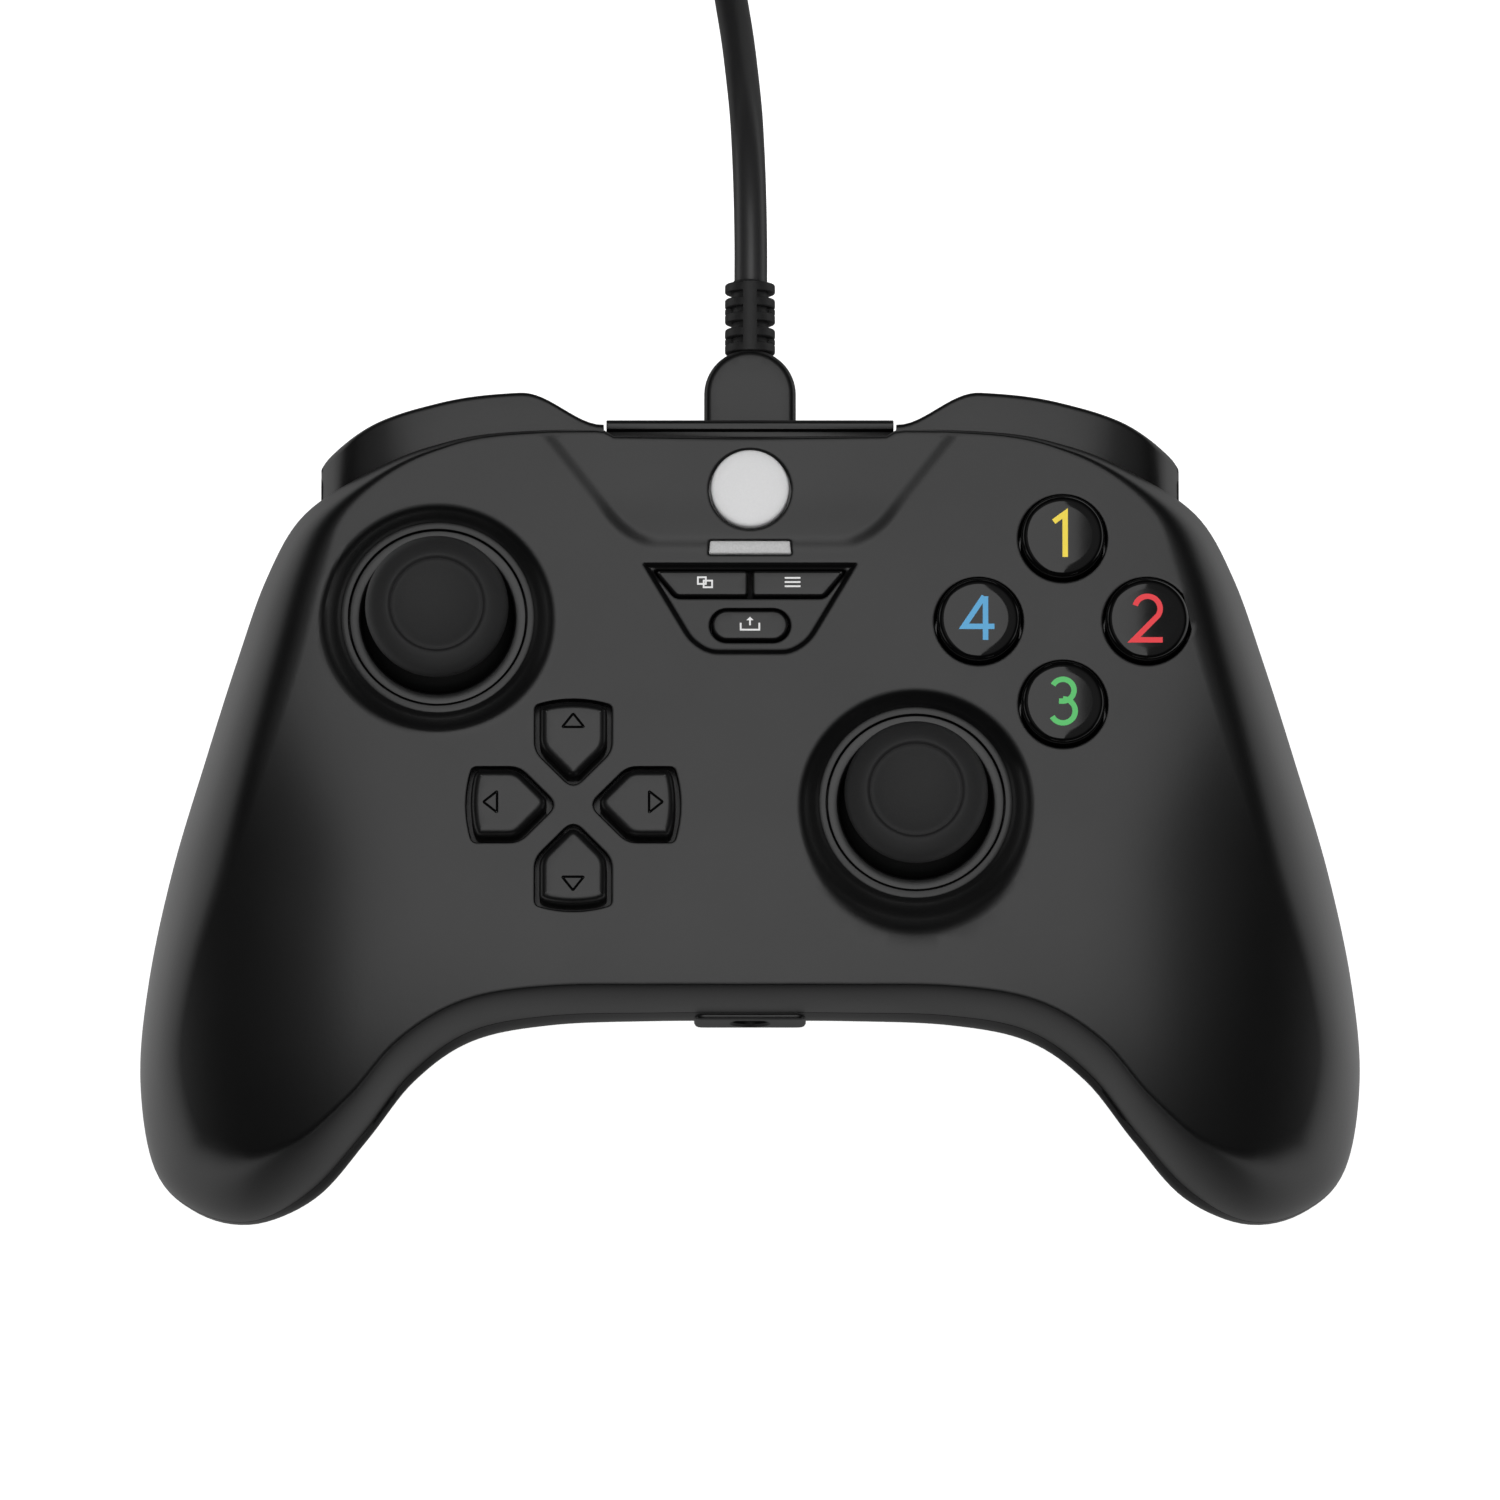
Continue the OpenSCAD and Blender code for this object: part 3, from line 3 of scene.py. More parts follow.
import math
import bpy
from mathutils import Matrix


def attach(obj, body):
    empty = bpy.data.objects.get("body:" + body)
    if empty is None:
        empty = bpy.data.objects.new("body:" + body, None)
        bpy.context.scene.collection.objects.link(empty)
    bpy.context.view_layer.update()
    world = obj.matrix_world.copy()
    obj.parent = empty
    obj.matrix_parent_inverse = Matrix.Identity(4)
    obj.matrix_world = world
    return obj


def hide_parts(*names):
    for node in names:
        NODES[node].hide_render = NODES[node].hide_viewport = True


bl_info = {
    "name": "Wired Gamepad",
    "version": (1, 0, 0),
    "blender": (4, 5, 0),
    "location": "3D View > Sidebar > Gamepad",
    "description": "Moulded skins, trim, prints, cord and finishes of a wired gamepad",
    "category": "Object",
}

import bmesh
import bpy
import numpy as np
from bpy.props import FloatProperty, FloatVectorProperty, IntProperty, PointerProperty
from bpy.types import Operator, Panel, PropertyGroup
from mathutils import Matrix, Vector
from mathutils.geometry import delaunay_2d_cdt

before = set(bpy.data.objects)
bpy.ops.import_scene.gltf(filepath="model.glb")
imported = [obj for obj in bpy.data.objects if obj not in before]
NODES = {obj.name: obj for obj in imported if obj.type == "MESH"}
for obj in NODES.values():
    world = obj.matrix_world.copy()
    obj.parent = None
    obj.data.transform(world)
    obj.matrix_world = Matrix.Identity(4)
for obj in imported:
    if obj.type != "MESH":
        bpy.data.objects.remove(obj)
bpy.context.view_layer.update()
MM = 0.001

# Heights and places, in millimetres in the frame's own axes
FACE_Z = 44.0
WALL = 2.2
UNDER_Z = FACE_Z - WALL
LIP_Z = FACE_Z + 1.7
GIMBAL_Z = 34.0
STEM_Z = 31.1
USB_Z = 29.3
JACK_Z = 23.0
LEFT_STICK = (-38.9, 20.4)
RIGHT_STICK = (20.6, -3.0)
DPAD = (-22.0, -3.0)
BUTTONS = {
    "button_top": (39.0, 30.7),
    "button_right": (49.5, 20.2),
    "button_bottom": (39.0, 9.7),
    "button_left": (28.5, 20.2),
}
HOME = (0.0, 36.9)
SHARE = (0.0, 19.8)
MENU_Y = 25.05
LIGHT_Y = 29.5
LINE = 0.22  # Stroke of the pictograms
STICKS = {"left": LEFT_STICK, "right": RIGHT_STICK}

# Housing edge, right half from the middle of the rear round to the middle of the front: x, y, drop of the
# seam below the face, roll of the front shell, roll of the rear shell, opening between the shells, belly
HALF_EDGE = [
    (0, 44.8, 4, 0.9, 5, 15.2, 0),
    (28, 44.8, 4, 0.9, 5, 15.2, 0),
    (40, 43, 4.8, 1.5, 5, 14.4, 0),
    (49, 39.4, 7, 3.0, 6, 13, 0),
    (56.2, 34.9, 10, 6, 7, 0.5, 0),
    (60.6, 27.6, 12.5, 7.5, 8, 0, 0),
    (64.3, 17.5, 15, 8.5, 9, 0, 0),
    (68.2, 5.5, 17.5, 8.5, 9, 0, 0),
    (72.4, -8, 21, 8, 9, 0, 0),
    (75.4, -21.5, 24.5, 6, 9, 0, 0),
    (76.5, -33.5, 27.5, 5.2, 9, 0, 0),
    (74.6, -44.5, 29.5, 6.5, 9, 0, 0),
    (69.3, -49.5, 30.8, 7.4, 9, 0, 0.2),
    (62.3, -50.6, 31.4, 6.6, 9, 0, 0.6),
    (55, -46.7, 30.8, 4, 9, 0, 2),
    (48.6, -40, 28.5, 2.2, 9, 0, 2),
    (42.6, -33, 25, 1.7, 9, 0, 2),
    (35, -28.4, 19.6, 1.4, 8, 0, 1.8),
    (25, -26.8, 17.2, 1.4, 8, 0, 1.5),
    (12, -26.6, 16.2, 1.4, 8, 0, 1.2),
    (0, -26.6, 16, 1.4, 8, 0, 1.2),
]
DROP, FRONT_ROLL, REAR_ROLL, OPENING, BELLY = range(2, 7)
# The whole edge, round from this row of the mirrored half
FIRST_ROW = 10
LEFT_EDGE = np.multiply(HALF_EDGE, (-1, 1, 1, 1, 1, 1, 1))
EDGE = np.concatenate([LEFT_EDGE[FIRST_ROW:0:-1], HALF_EDGE, LEFT_EDGE[-2:FIRST_ROW:-1]])
FRONT, REAR = 1, -1


# Shape of the housing


def smooth(a, b, v):
    t = np.clip((np.asarray(v, float) - a) / (b - a), 0, 1)
    return t * t * (3 - 2 * t)


def between_points(a, b, c, d, t):
    """A smooth curve from b to c, with a before it and d after it."""
    return b + 0.5 * t * (c - a + t * (2 * a - 5 * b + 4 * c - d + t * (3 * b - a - 3 * c + d)))


def edge_at(q):
    """Rows of the housing edge's table at places along it."""
    q = np.asarray(q, float)
    i = np.floor(q).astype(int)
    t = (q - i)[:, None]
    a, b, c, d = (EDGE[(i + k) % len(EDGE)] for k in (-1, 0, 1, 2))
    return between_points(a, b, c, d, t)


def inward(q):
    e = edge_at(np.asarray(q) + 0.02) - edge_at(np.asarray(q) - 0.02)
    return np.stack([e[:, 1], -e[:, 0]], 1) / np.linalg.norm(e[:, :2], axis=1)[:, None]


def even_edge(step):
    """Places along the housing edge that are about step apart, walking once round."""
    fine = np.linspace(0, len(EDGE), 6001)
    p = edge_at(fine)[:, :2]
    run = np.concatenate([[0], np.cumsum(np.linalg.norm(np.diff(p, axis=0), axis=1))])
    count = int(round(run[-1] / step))
    return np.interp(np.arange(count) * run[-1] / count, run, fine)


def face_at(p):
    across = np.abs(p[:, 0])
    side = np.maximum(0, across - 38 - 9 * smooth(-12, 18, p[:, 1]))
    fore = np.maximum(0, -p[:, 1] - 4)
    return FACE_Z - 0.00023 * side**3 - (0.0055 + 0.0008 * smooth(26, 48, across)) * fore**2


def floor_at(p):
    hump = 1 - smooth(0.9, 1.9, np.hypot(p[:, 0] / 24, (p[:, 1] - 20) / 15))
    rear, tip = np.array([52.0, 5.0]), np.array([64.0, -42.0])
    rel = np.stack([np.abs(p[:, 0]), p[:, 1]], 1) - rear
    along = rel @ (tip - rear) / ((tip - rear) @ (tip - rear))
    off = np.linalg.norm(rel - np.clip(along, 0, 1)[:, None] * (tip - rear), axis=1)
    grip = smooth(0.1, 0.8, along) * (1 - smooth(4, 24, off))
    return 15 * (1 - hump) * (1 - grip)


def signed(p, line):
    """Distance of points inside a closed outline, negative outside it."""
    a = np.asarray(line, float)
    b = np.roll(a, -1, 0)
    best = np.full(len(p), 1e9)
    inside = np.zeros(len(p), bool)
    for s, e in zip(a, b):
        d = e - s
        t = np.clip(((p - s) @ d) / max(d @ d, 1e-12), 0, 1)
        best = np.minimum(best, np.linalg.norm(p - s - t[:, None] * d, axis=1))
        if s[1] != e[1]:
            cross = (s[1] > p[:, 1]) != (e[1] > p[:, 1])
            inside ^= cross & (p[:, 0] < s[0] + (p[:, 1] - s[1]) * d[0] / (e[1] - s[1]))
    return np.where(inside, best, -best)


def rounded(line, radius, steps=6):
    """A closed outline with its corners turned by a soft curve."""
    out = []
    n = len(line)
    radii = radius if hasattr(radius, "__len__") else [radius] * n
    for i, p in enumerate(np.asarray(line, float)):
        a, b = np.asarray(line[i - 1], float) - p, np.asarray(line[(i + 1) % n], float) - p
        la, lb = np.linalg.norm(a), np.linalg.norm(b)
        r = min(radii[i], 0.46 * la, 0.46 * lb)
        s, e = p + a * r / la, p + b * r / lb
        for k in range(steps + 1):
            t = k / steps
            out.append(s * (1 - t) ** 2 + 2 * p * t * (1 - t) + e * t * t)
    return np.array(out)


def spaced(line, step):
    """A closed outline with points added so that none are further apart than step."""
    out = []
    for a, b in zip(line, np.roll(line, -1, 0)):
        n = max(1, int(math.ceil(np.linalg.norm(b - a) / step)))
        out += [a + (b - a) * k / n for k in range(n)]
    return np.array(out)


def grown(line, by):
    """An outline moved outwards, or inwards where by is negative."""
    a = np.asarray(line, float)
    d = np.roll(a, -1, 0) - np.roll(a, 1, 0)
    n = np.stack([d[:, 1], -d[:, 0]], 1) / np.maximum(np.linalg.norm(d, axis=1), 1e-9)[:, None]
    x, y = a[:, 0], a[:, 1]
    area = np.sum(x * np.roll(y, -1) - np.roll(x, -1) * y)
    return a + n * by * (1 if area > 0 else -1)


def circle(at, r, n):
    t = np.arange(n) * 2 * math.pi / n
    return np.stack([at[0] + r * np.cos(t), at[1] + r * np.sin(t)], 1)


def capsule(at, w, t, n=14):
    a = np.linspace(-math.pi / 2, math.pi / 2, n)
    right = np.stack([(w - t) / 2 + t / 2 * np.cos(a), t / 2 * np.sin(a)], 1)
    return np.concatenate([right, -right]) + np.array(at)


PANEL = rounded([
    (31.3, 50), (-31.3, 50), (-19.4, 34.8), (-17.5, 32.2), (-15.4, 30.4), (-12.5, 29),
    (12.5, 29), (15.4, 30.4), (17.5, 32.2), (19.4, 34.8),
], 2.5)
ISLAND = rounded(
    [(13.6, 27.7), (-13.6, 27.7), (-7.6, 17.6), (-5.2, 16), (5.2, 16), (7.6, 17.6)], [0.6, 0.6, 2, 2, 2, 2]
)


def trapezoid(y, half, far, near, radius):
    """A four-sided outline about x = 0, with its half widths at the far and near sides."""
    return rounded([(-far, y + half), (far, y + half), (near, y - half), (-near, y - half)], radius)


MENU_HOLE = trapezoid(MENU_Y, 1.8, 12.2, 9.35, 0.7)
LIGHT_HOLE = trapezoid(LIGHT_Y, 0.87, 5.04, 5.2, 0.25)
SHARE_HOLE = capsule(SHARE, 10.0, 4.25)


def pad_outline(by, turn):
    """Outline of one direction pad opening, drawn in by a gap and turned about the pad's middle."""
    w, reach, far = 9.5, 13.3, math.sqrt(2)
    line = [(2 + by * far, 0), (2 + w / 2 + by * (far - 1), -w / 2 + by), (reach - 0.75 - by, -w / 2 + by)]
    arc = [(reach - by - 0.75 * (y / (w / 2)) ** 2, y) for y in np.linspace(-w / 2 + by, w / 2 - by, 9)[1:-1]]
    line += arc + [(reach - 0.75 - by, w / 2 - by), (2 + w / 2 + by * (far - 1), w / 2 - by)]
    radii = [1.5, 1.2, 0.7] + [0.3] * len(arc) + [0.7, 1.2]
    c, s = math.cos(turn), math.sin(turn)
    return rounded(line, radii) @ np.array([[c, s], [-s, c]]) + np.array(DPAD)


COLLAR_RADII = [0, 11.95, 12.1, 12.35, 12.75, 13.2, 13.65, 14.1, 14.5, 14.95, 15.5, 16.45, 18.5, 20]
COLLAR_DROPS = [0, 0, 0.07, 0.33, 0.54, 0.78, 1.14, 1.48, 1.72, 1.95, 2.35, 3.4, 6, 60]


def collar_z(r):
    """Height of a stick's collar at a distance from its middle."""
    return LIP_Z - np.interp(r, COLLAR_RADII, COLLAR_DROPS)


def panel_rise(p):
    return 0.56 * smooth(0, 1.9, signed(p, PANEL)) * (1 - 0.5 * smooth(30, 37, p[:, 1]))


def front_top(p):
    """Height of the front shell's outer skin."""
    return face_at(p) + panel_rise(p)


def roll_point(side, skin, q, turn, inset):
    """Points of a shell's rolled edge, from turn 0 at the seam to a quarter turn at the skin."""
    e, n = edge_at(q), inward(q)
    roll = np.maximum(e[:, FRONT_ROLL if side == FRONT else REAR_ROLL] - inset, 0.7)
    belly = 0 if side == FRONT else e[:, BELLY] * math.sin(2 * turn)
    gap = 0.75 * smooth(38, 42, e[:, 1]) * (1 - smooth(17.4, 18.4, np.abs(e[:, 0]))) * (side == FRONT)
    root = e[:, :2] + n * (inset + gap)[:, None]
    p = root + n * (roll * (1 - math.cos(turn)) - belly)[:, None]
    seam = FACE_Z - e[:, DROP] - (0 if side == FRONT else 0.3 + np.maximum(0, e[:, OPENING]))
    high = skin(p) - side * inset
    drop = skin(root) - side * inset - seam
    return np.column_stack([p, high - drop * (1 - math.sin(turn))])


# Mesh helpers


def filled(boundary, holes, loops, step, rims=()):
    """Triangles over an outline with holes, with points on the given loops, on rims that far from each hole,
    and on a grid between them."""
    chains, points, edges = [boundary] + list(holes), [], []
    for c in chains:
        first = len(points)
        points += [tuple(x) for x in c]
        edges += [(first + i, first + (i + 1) % len(c)) for i in range(len(c))]
    clear = lambda p, by: np.all(
        [signed(p, boundary) > by] + [signed(p, h) < -by for h in holes], axis=0
    )
    close = [grown(h, by) for h in holes for by in rims]
    loops = close + list(loops)
    for at, loop in enumerate(loops):
        ok = clear(loop, 0.03 if at < len(close) else 0.3)
        first = len(points)
        index = np.cumsum(ok) - 1
        points += [tuple(x) for x in loop[ok]]
        for i in range(len(loop)):
            j = (i + 1) % len(loop)
            if ok[i] and ok[j]:
                edges.append((first + int(index[i]), first + int(index[j])))
    lo, hi = boundary.min(0), boundary.max(0)
    rows = np.arange(lo[1], hi[1], step * 0.866)
    starts = [lo[0] + (i % 2) * step / 2 for i in range(len(rows))]
    grid = np.concatenate([[(x, y) for x in np.arange(x0, hi[0], step)] for x0, y in zip(starts, rows)])
    grid = grid[clear(grid, step * 0.45)]
    if len(loops):
        tight = np.concatenate(loops)
        near = np.array([np.min(np.sum((tight - g) ** 2, 1)) for g in grid]) if len(grid) else np.zeros(0)
        grid = grid[near > (step * 0.42) ** 2]
    points += [tuple(x) for x in grid]
    verts, _, faces, origin, _, _ = delaunay_2d_cdt([Vector(p) for p in points], edges, [], 0, 1e-7, True)
    where = {}
    for i, sources in enumerate(origin):
        for s in sources:
            where[s] = i
    flat = np.array([(v.x, v.y) for v in verts])
    middle = np.array([flat[list(f)].mean(0) for f in faces])
    keep = clear(middle, 0)
    out, first = [], 0
    for c in chains:
        out.append([where[first + i] for i in range(len(c))])
        first += len(c)
    return flat, [tuple(f) for f, k in zip(faces, keep) if k], out


def level(line, z):
    """A flat outline's points at one height."""
    return np.column_stack([line, np.full(len(line), z)])


class Shape:
    """Vertices and faces of one piece, in millimetres."""

    def __init__(self):
        self.verts, self.faces = [], []

    def add(self, points):
        first = len(self.verts)
        self.verts += [tuple(map(float, p)) for p in points]
        return list(range(first, len(self.verts)))

    def strip(self, a, b):
        for i in range(len(a)):
            j = (i + 1) % len(a)
            self.faces.append((a[i], a[j], b[j], b[i]))

    def loft(self, rows, caps=True):
        """Joins rows of points into a closed skin, with a face at each end where caps are wanted."""
        ids = [self.add(r) for r in rows]
        for a, b in zip(ids, ids[1:]):
            self.strip(a, b)
        if caps:
            self.faces += [tuple(ids[0]), tuple(ids[-1])]

    def lathe(self, profile, at=(0, 0), segments=96):
        """Turns a profile of radii and heights about an upright axis."""
        rows = []
        for r, z in profile:
            if r < 1e-6:
                rows.append(self.add([(at[0], at[1], z)]))
            else:
                rows.append(self.add(level(circle(at, r, segments), z)))
        for a, b in zip(rows, rows[1:]):
            if len(a) == 1 and len(b) == 1:
                continue
            for i in range(segments):
                j = (i + 1) % segments
                if len(a) == 1:
                    self.faces.append((a[0], b[j], b[i]))
                elif len(b) == 1:
                    self.faces.append((a[i], a[j], b[0]))
                else:
                    self.faces.append((a[i], a[j], b[j], b[i]))

    def solid(self, rings):
        """Stacks outlines, given with their heights, on a flat foot, and returns the last one's vertices."""
        ids = [self.add(level(line, z)) for line, z in rings]
        for a, b in zip(ids, ids[1:]):
            self.strip(a, b)
        self.faces.append(tuple(ids[0]))
        return ids[-1]

    def cover(self, edge_ids, boundary, height, loops=(), step=0.8):
        """Fills a top outline with triangles whose heights follow a rule."""
        flat, faces, chains = filled(boundary, [], list(loops), step)
        z = height(flat)
        index = dict(zip(chains[0], edge_ids))
        for i, p in enumerate(flat):
            if i not in index:
                index[i] = self.add([(*p, z[i])])[0]
        self.faces += [tuple(index[k] for k in f) for f in faces]

    def mesh(self, name, merge=1e-4):
        data = bpy.data.meshes.new(name)
        bm = bmesh.new()
        vs = [bm.verts.new((x * MM, y * MM, z * MM)) for x, y, z in self.verts]
        for f in self.faces:
            if len(set(f)) > 2:
                try:
                    bm.faces.new([vs[i] for i in f])
                except ValueError:
                    pass
        bmesh.ops.remove_doubles(bm, verts=bm.verts, dist=merge * MM)
        bmesh.ops.dissolve_degenerate(bm, dist=1e-8, edges=bm.edges)
        bmesh.ops.recalc_face_normals(bm, faces=bm.faces)
        bm.to_mesh(data)
        bm.free()
        return data


class Shell(Shape):
    """A housing shell: its rolled edge, and skins outside and inside."""

    def __init__(self, side, skin):
        super().__init__()
        q = even_edge(sizes().edge_step / MM)
        turns = np.linspace(0, math.pi / 2, sizes().roll_steps + 1)
        self.outer = [self.add(roll_point(side, skin, q, t, 0)) for t in turns]
        self.inner = [self.add(roll_point(side, skin, q, t, WALL)) for t in np.linspace(0, math.pi / 2, 5)]
        for a, b in zip(self.outer, self.outer[1:]):
            self.strip(a, b)
        for a, b in zip(self.inner, self.inner[1:]):
            self.strip(b, a)
        self.strip(self.inner[0], self.outer[0])
        self.boundary = np.array([self.verts[i][:2] for i in self.outer[-1]])

    def skins(self, flat, faces, edge, high, low):
        """Fills both skins and returns their vertices."""
        over = dict(zip(edge, self.outer[-1]))
        for i, p in enumerate(flat):
            if i not in over:
                over[i] = self.add([(*p, high[i])])[0]
        under = self.add(np.column_stack([flat, low]))
        self.faces += [tuple(over[k] for k in f) for f in faces]
        self.faces += [tuple(under[k] for k in reversed(f)) for f in faces]
        self.strip([under[k] for k in edge], self.inner[-1])
        return over, under


def place(name, data, finish, body, replaces=(), sharp=38):
    """Puts a mesh into the scene as a piece of the object."""
    data.materials.clear()
    data.materials.append(FINISHES[finish])
    data.shade_smooth()
    data.set_sharp_from_angle(angle=math.radians(sharp))
    obj = bpy.data.objects.new(name, data)
    bpy.context.scene.collection.objects.link(obj)
    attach(obj, body)
    if replaces:
        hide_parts(*replaces)
    return obj


def from_node(node):
    """A merged copy of a CAD node's mesh, with its flat faces whole again."""
    data = NODES[node].data.copy()
    bm = bmesh.new()
    bm.from_mesh(data)
    bmesh.ops.remove_doubles(bm, verts=bm.verts, dist=2e-6)
    bmesh.ops.dissolve_limit(bm, angle_limit=math.radians(1.5), verts=bm.verts, edges=bm.edges)
    bm.to_mesh(data)
    bm.free()
    return data


def soften(obj, width, segments=3):
    """Rounds the hard edges of a piece."""
    m = obj.modifiers.new("Soft edges", "BEVEL")
    m.width = width * MM
    m.segments = segments
    m.limit_method = "ANGLE"
    m.angle_limit = math.radians(30)
    m.use_clamp_overlap = True
    return obj


def dressed(name, node, finish, body, edge, segments=3):
    """A CAD node's own form as a piece, with its hard edges rounded."""
    return soften(place(name, from_node(node), finish, body, (node,)), edge, segments)


def stem(shape, at):
    """A small button's stem, from its mat up into its cap."""
    shape.lathe([(0, STEM_Z), (1.5, STEM_Z), (1.5, UNDER_Z - 1), (0, UNDER_Z - 1)], at, 32)


def widened(line, width):
    """Closed outline of a stroke of even width along an open line."""
    p = np.asarray(line, float)
    d = np.diff(p, axis=0)
    d /= np.linalg.norm(d, axis=1)[:, None]
    before, after = np.concatenate([d[:1], d]), np.concatenate([d, d[-1:]])
    n = np.stack([-before[:, 1] - after[:, 1], before[:, 0] + after[:, 0]], 1)
    n /= np.sum(n * n, axis=1)[:, None] / 2
    return np.concatenate([p - n * width / 2, (p + n * width / 2)[::-1]])


def curve_through(points, per):
    """Smooth line through points, with a number of steps between each two."""
    p = np.asarray(points, float)
    p = np.concatenate([[2 * p[0] - p[1]], p, [2 * p[-1] - p[-2]]])
    out = []
    for i in range(1, len(p) - 2):
        out += [between_points(*p[i - 1 : i + 3], k / per) for k in range(per)]
    return np.array(out + [p[-2]])


def joined(*meshes):
    """One mesh from several, which are used up."""
    bm = bmesh.new()
    for m in meshes:
        bm.from_mesh(m)
        bpy.data.meshes.remove(m)
    out = bpy.data.meshes.new("joined")
    bm.to_mesh(out)
    bm.free()
    return out


# Finishes


class Sock:
    """A shader socket that adds Math nodes when it is used in an expression."""

    def __init__(self, tree, socket):
        self.tree, self.socket = tree, socket

    def math(self, operation, *terms):
        n = self.tree.nodes.new("ShaderNodeMath")
        n.operation = operation
        for i, t in enumerate(terms):
            if isinstance(t, Sock):
                self.tree.links.new(t.socket, n.inputs[i])
            else:
                n.inputs[i].default_value = t
        return Sock(self.tree, n.outputs[0])

    def __add__(self, other):
        return self.math("ADD", self, other)

    def __mul__(self, other):
        return self.math("MULTIPLY", self, other)

    def __rsub__(self, other):
        return self.math("SUBTRACT", other, self)

    __radd__, __rmul__ = __add__, __mul__

    def ramp(self, low, high):
        """A soft step from 0 at low to 1 at high."""
        n = self.tree.nodes.new("ShaderNodeMapRange")
        n.interpolation_type = "SMOOTHSTEP"
        n.inputs["From Min"].default_value = low
        n.inputs["From Max"].default_value = high
        self.tree.links.new(self.socket, n.inputs["Value"])
        return Sock(self.tree, n.outputs["Result"])


class Finish:
    """One procedural material: a Principled shader and what feeds it."""

    def __init__(self, name, **fixed):
        self.material = bpy.data.materials.new(name)
        self.material.use_nodes = True
        self.tree = self.material.node_tree
        self.tree.nodes.clear()
        out = self.tree.nodes.new("ShaderNodeOutputMaterial")
        self.shader = self.tree.nodes.new("ShaderNodeBsdfPrincipled")
        self.tree.links.new(self.shader.outputs[0], out.inputs[0])
        for key, value in fixed.items():
            self.shader.inputs[key.replace("_", " ")].default_value = value

    def node(self, kind, settings=None, values=None, output=0):
        n = self.tree.nodes.new(kind)
        for key, value in (settings or {}).items():
            setattr(n, key, value)
        for key, value in (values or {}).items():
            if isinstance(value, Sock):
                self.tree.links.new(value.socket, n.inputs[key])
            else:
                n.inputs[key].default_value = value
        return Sock(self.tree, n.outputs[output])

    def coords(self):
        return self.node("ShaderNodeTexCoord", output="Object")

    def noise(self, scale, detail=2.0, rough=0.5, vector=None):
        values = {"Vector": vector or self.coords(), "Scale": scale, "Detail": detail, "Roughness": rough}
        return self.node("ShaderNodeTexNoise", {}, values)

    def between(self, factor, a, b):
        return self.node("ShaderNodeMix", {"data_type": "RGBA"}, {0: factor, 6: (*a, 1), 7: (*b, 1)}, 2)

    def bump(self, height, strength, distance):
        return self.node("ShaderNodeBump", {}, {"Height": height, "Strength": strength, "Distance": distance})

    def feed(self, **links):
        for key, value in links.items():
            self.tree.links.new(value.socket, self.shader.inputs[key.replace("_", " ")])
        return self.material


def shade(colour, by):
    return tuple(min(1.0, c * by) for c in colour[:3])


def moulded(name, colour, rough, grain=0.1, scale=2600.0, specular=0.5):
    """Moulded plastic with a fine spark-eroded grain and slightly uneven tone."""
    f = Finish(name, Specular_IOR_Level=specular)
    cloud = f.noise(70.0, 3.0)
    fine = f.noise(scale, 3.0, 0.6)
    return f.feed(
        Base_Color=f.between(cloud, shade(colour, 0.86), shade(colour, 1.14)),
        Roughness=rough - 0.05 + 0.06 * cloud + 0.04 * fine,
        Normal=f.bump(fine, grain, 0.00006),
    )


def polished(name, colour, rough=0.06):
    """Glossy plastic with faint handling marks."""
    f = Finish(name, Specular_IOR_Level=0.4)
    smear = f.noise(260.0, 4.0, 0.65)
    return f.feed(
        Base_Color=f.between(smear, shade(colour, 0.85), shade(colour, 1.15)),
        Roughness=rough - 0.015 + 0.04 * smear,
        Normal=f.bump(f.noise(900.0, 2.0), 0.02, 0.00002),
    )


def rubbery(name, colour, rough=0.62, painted_shade_below=None):
    """Soft-touch rubber with a dry feel, with painted shade making it near black below a height where one is
    given.
    """
    f = Finish(name, Specular_IOR_Level=0.36)
    pores = f.node("ShaderNodeTexVoronoi", {}, {"Vector": f.coords(), "Scale": 3200.0})
    cloud = f.noise(140.0, 3.0)
    tone = f.between(cloud, shade(colour, 0.85), shade(colour, 1.18))
    if painted_shade_below:
        # Painted shade: below the given height the rubber turns near black, as in the shadowed well under a
        # stick's cap
        high = f.node("ShaderNodeSeparateXYZ", {}, {0: f.coords()}, 2).ramp(*painted_shade_below)
        black = (*shade(colour, 0.1), 1)
        tone = f.node("ShaderNodeMix", {"data_type": "RGBA"}, {0: high, 6: black, 7: tone}, 2)
    return f.feed(
        Base_Color=tone,
        Roughness=rough - 0.06 + 0.12 * cloud,
        Normal=f.bump(pores, 0.16, 0.00005),
    )


def frosted(name, colour, grain=0.12):
    """Pale diffuser plastic with a speckled moulding grain."""
    f = Finish(name, Specular_IOR_Level=0.45)
    speck = f.noise(3600.0, 2.0, 0.8)
    return f.feed(
        Base_Color=f.between(speck, shade(colour, 1 - grain), shade(colour, 1 + grain)),
        Roughness=0.34 + 0.12 * speck,
        Normal=f.bump(speck, 0.1, 0.00004),
    )


def inked(name, colour):
    """Screen-printed ink."""
    f = Finish(name, Specular_IOR_Level=0.4)
    speck = f.noise(2200.0, 2.0)
    return f.feed(
        Base_Color=f.between(speck, shade(colour, 0.95), shade(colour, 1.03)),
        Roughness=0.3 + 0.1 * speck,
    )


def brushed(name, colour, rough=0.3):
    """Plated steel with fine draw marks."""
    f = Finish(name, Metallic=1.0)
    drawn = f.node("ShaderNodeMapping", {}, {"Vector": f.coords(), "Scale": (300.0, 2600.0, 2600.0)})
    lines = f.noise(1.0, 3.0, 0.6, drawn)
    return f.feed(
        Base_Color=f.between(lines, shade(colour, 0.9), shade(colour, 1.06)),
        Roughness=rough - 0.08 + 0.16 * lines,
        Normal=f.bump(lines, 0.05, 0.00003),
    )


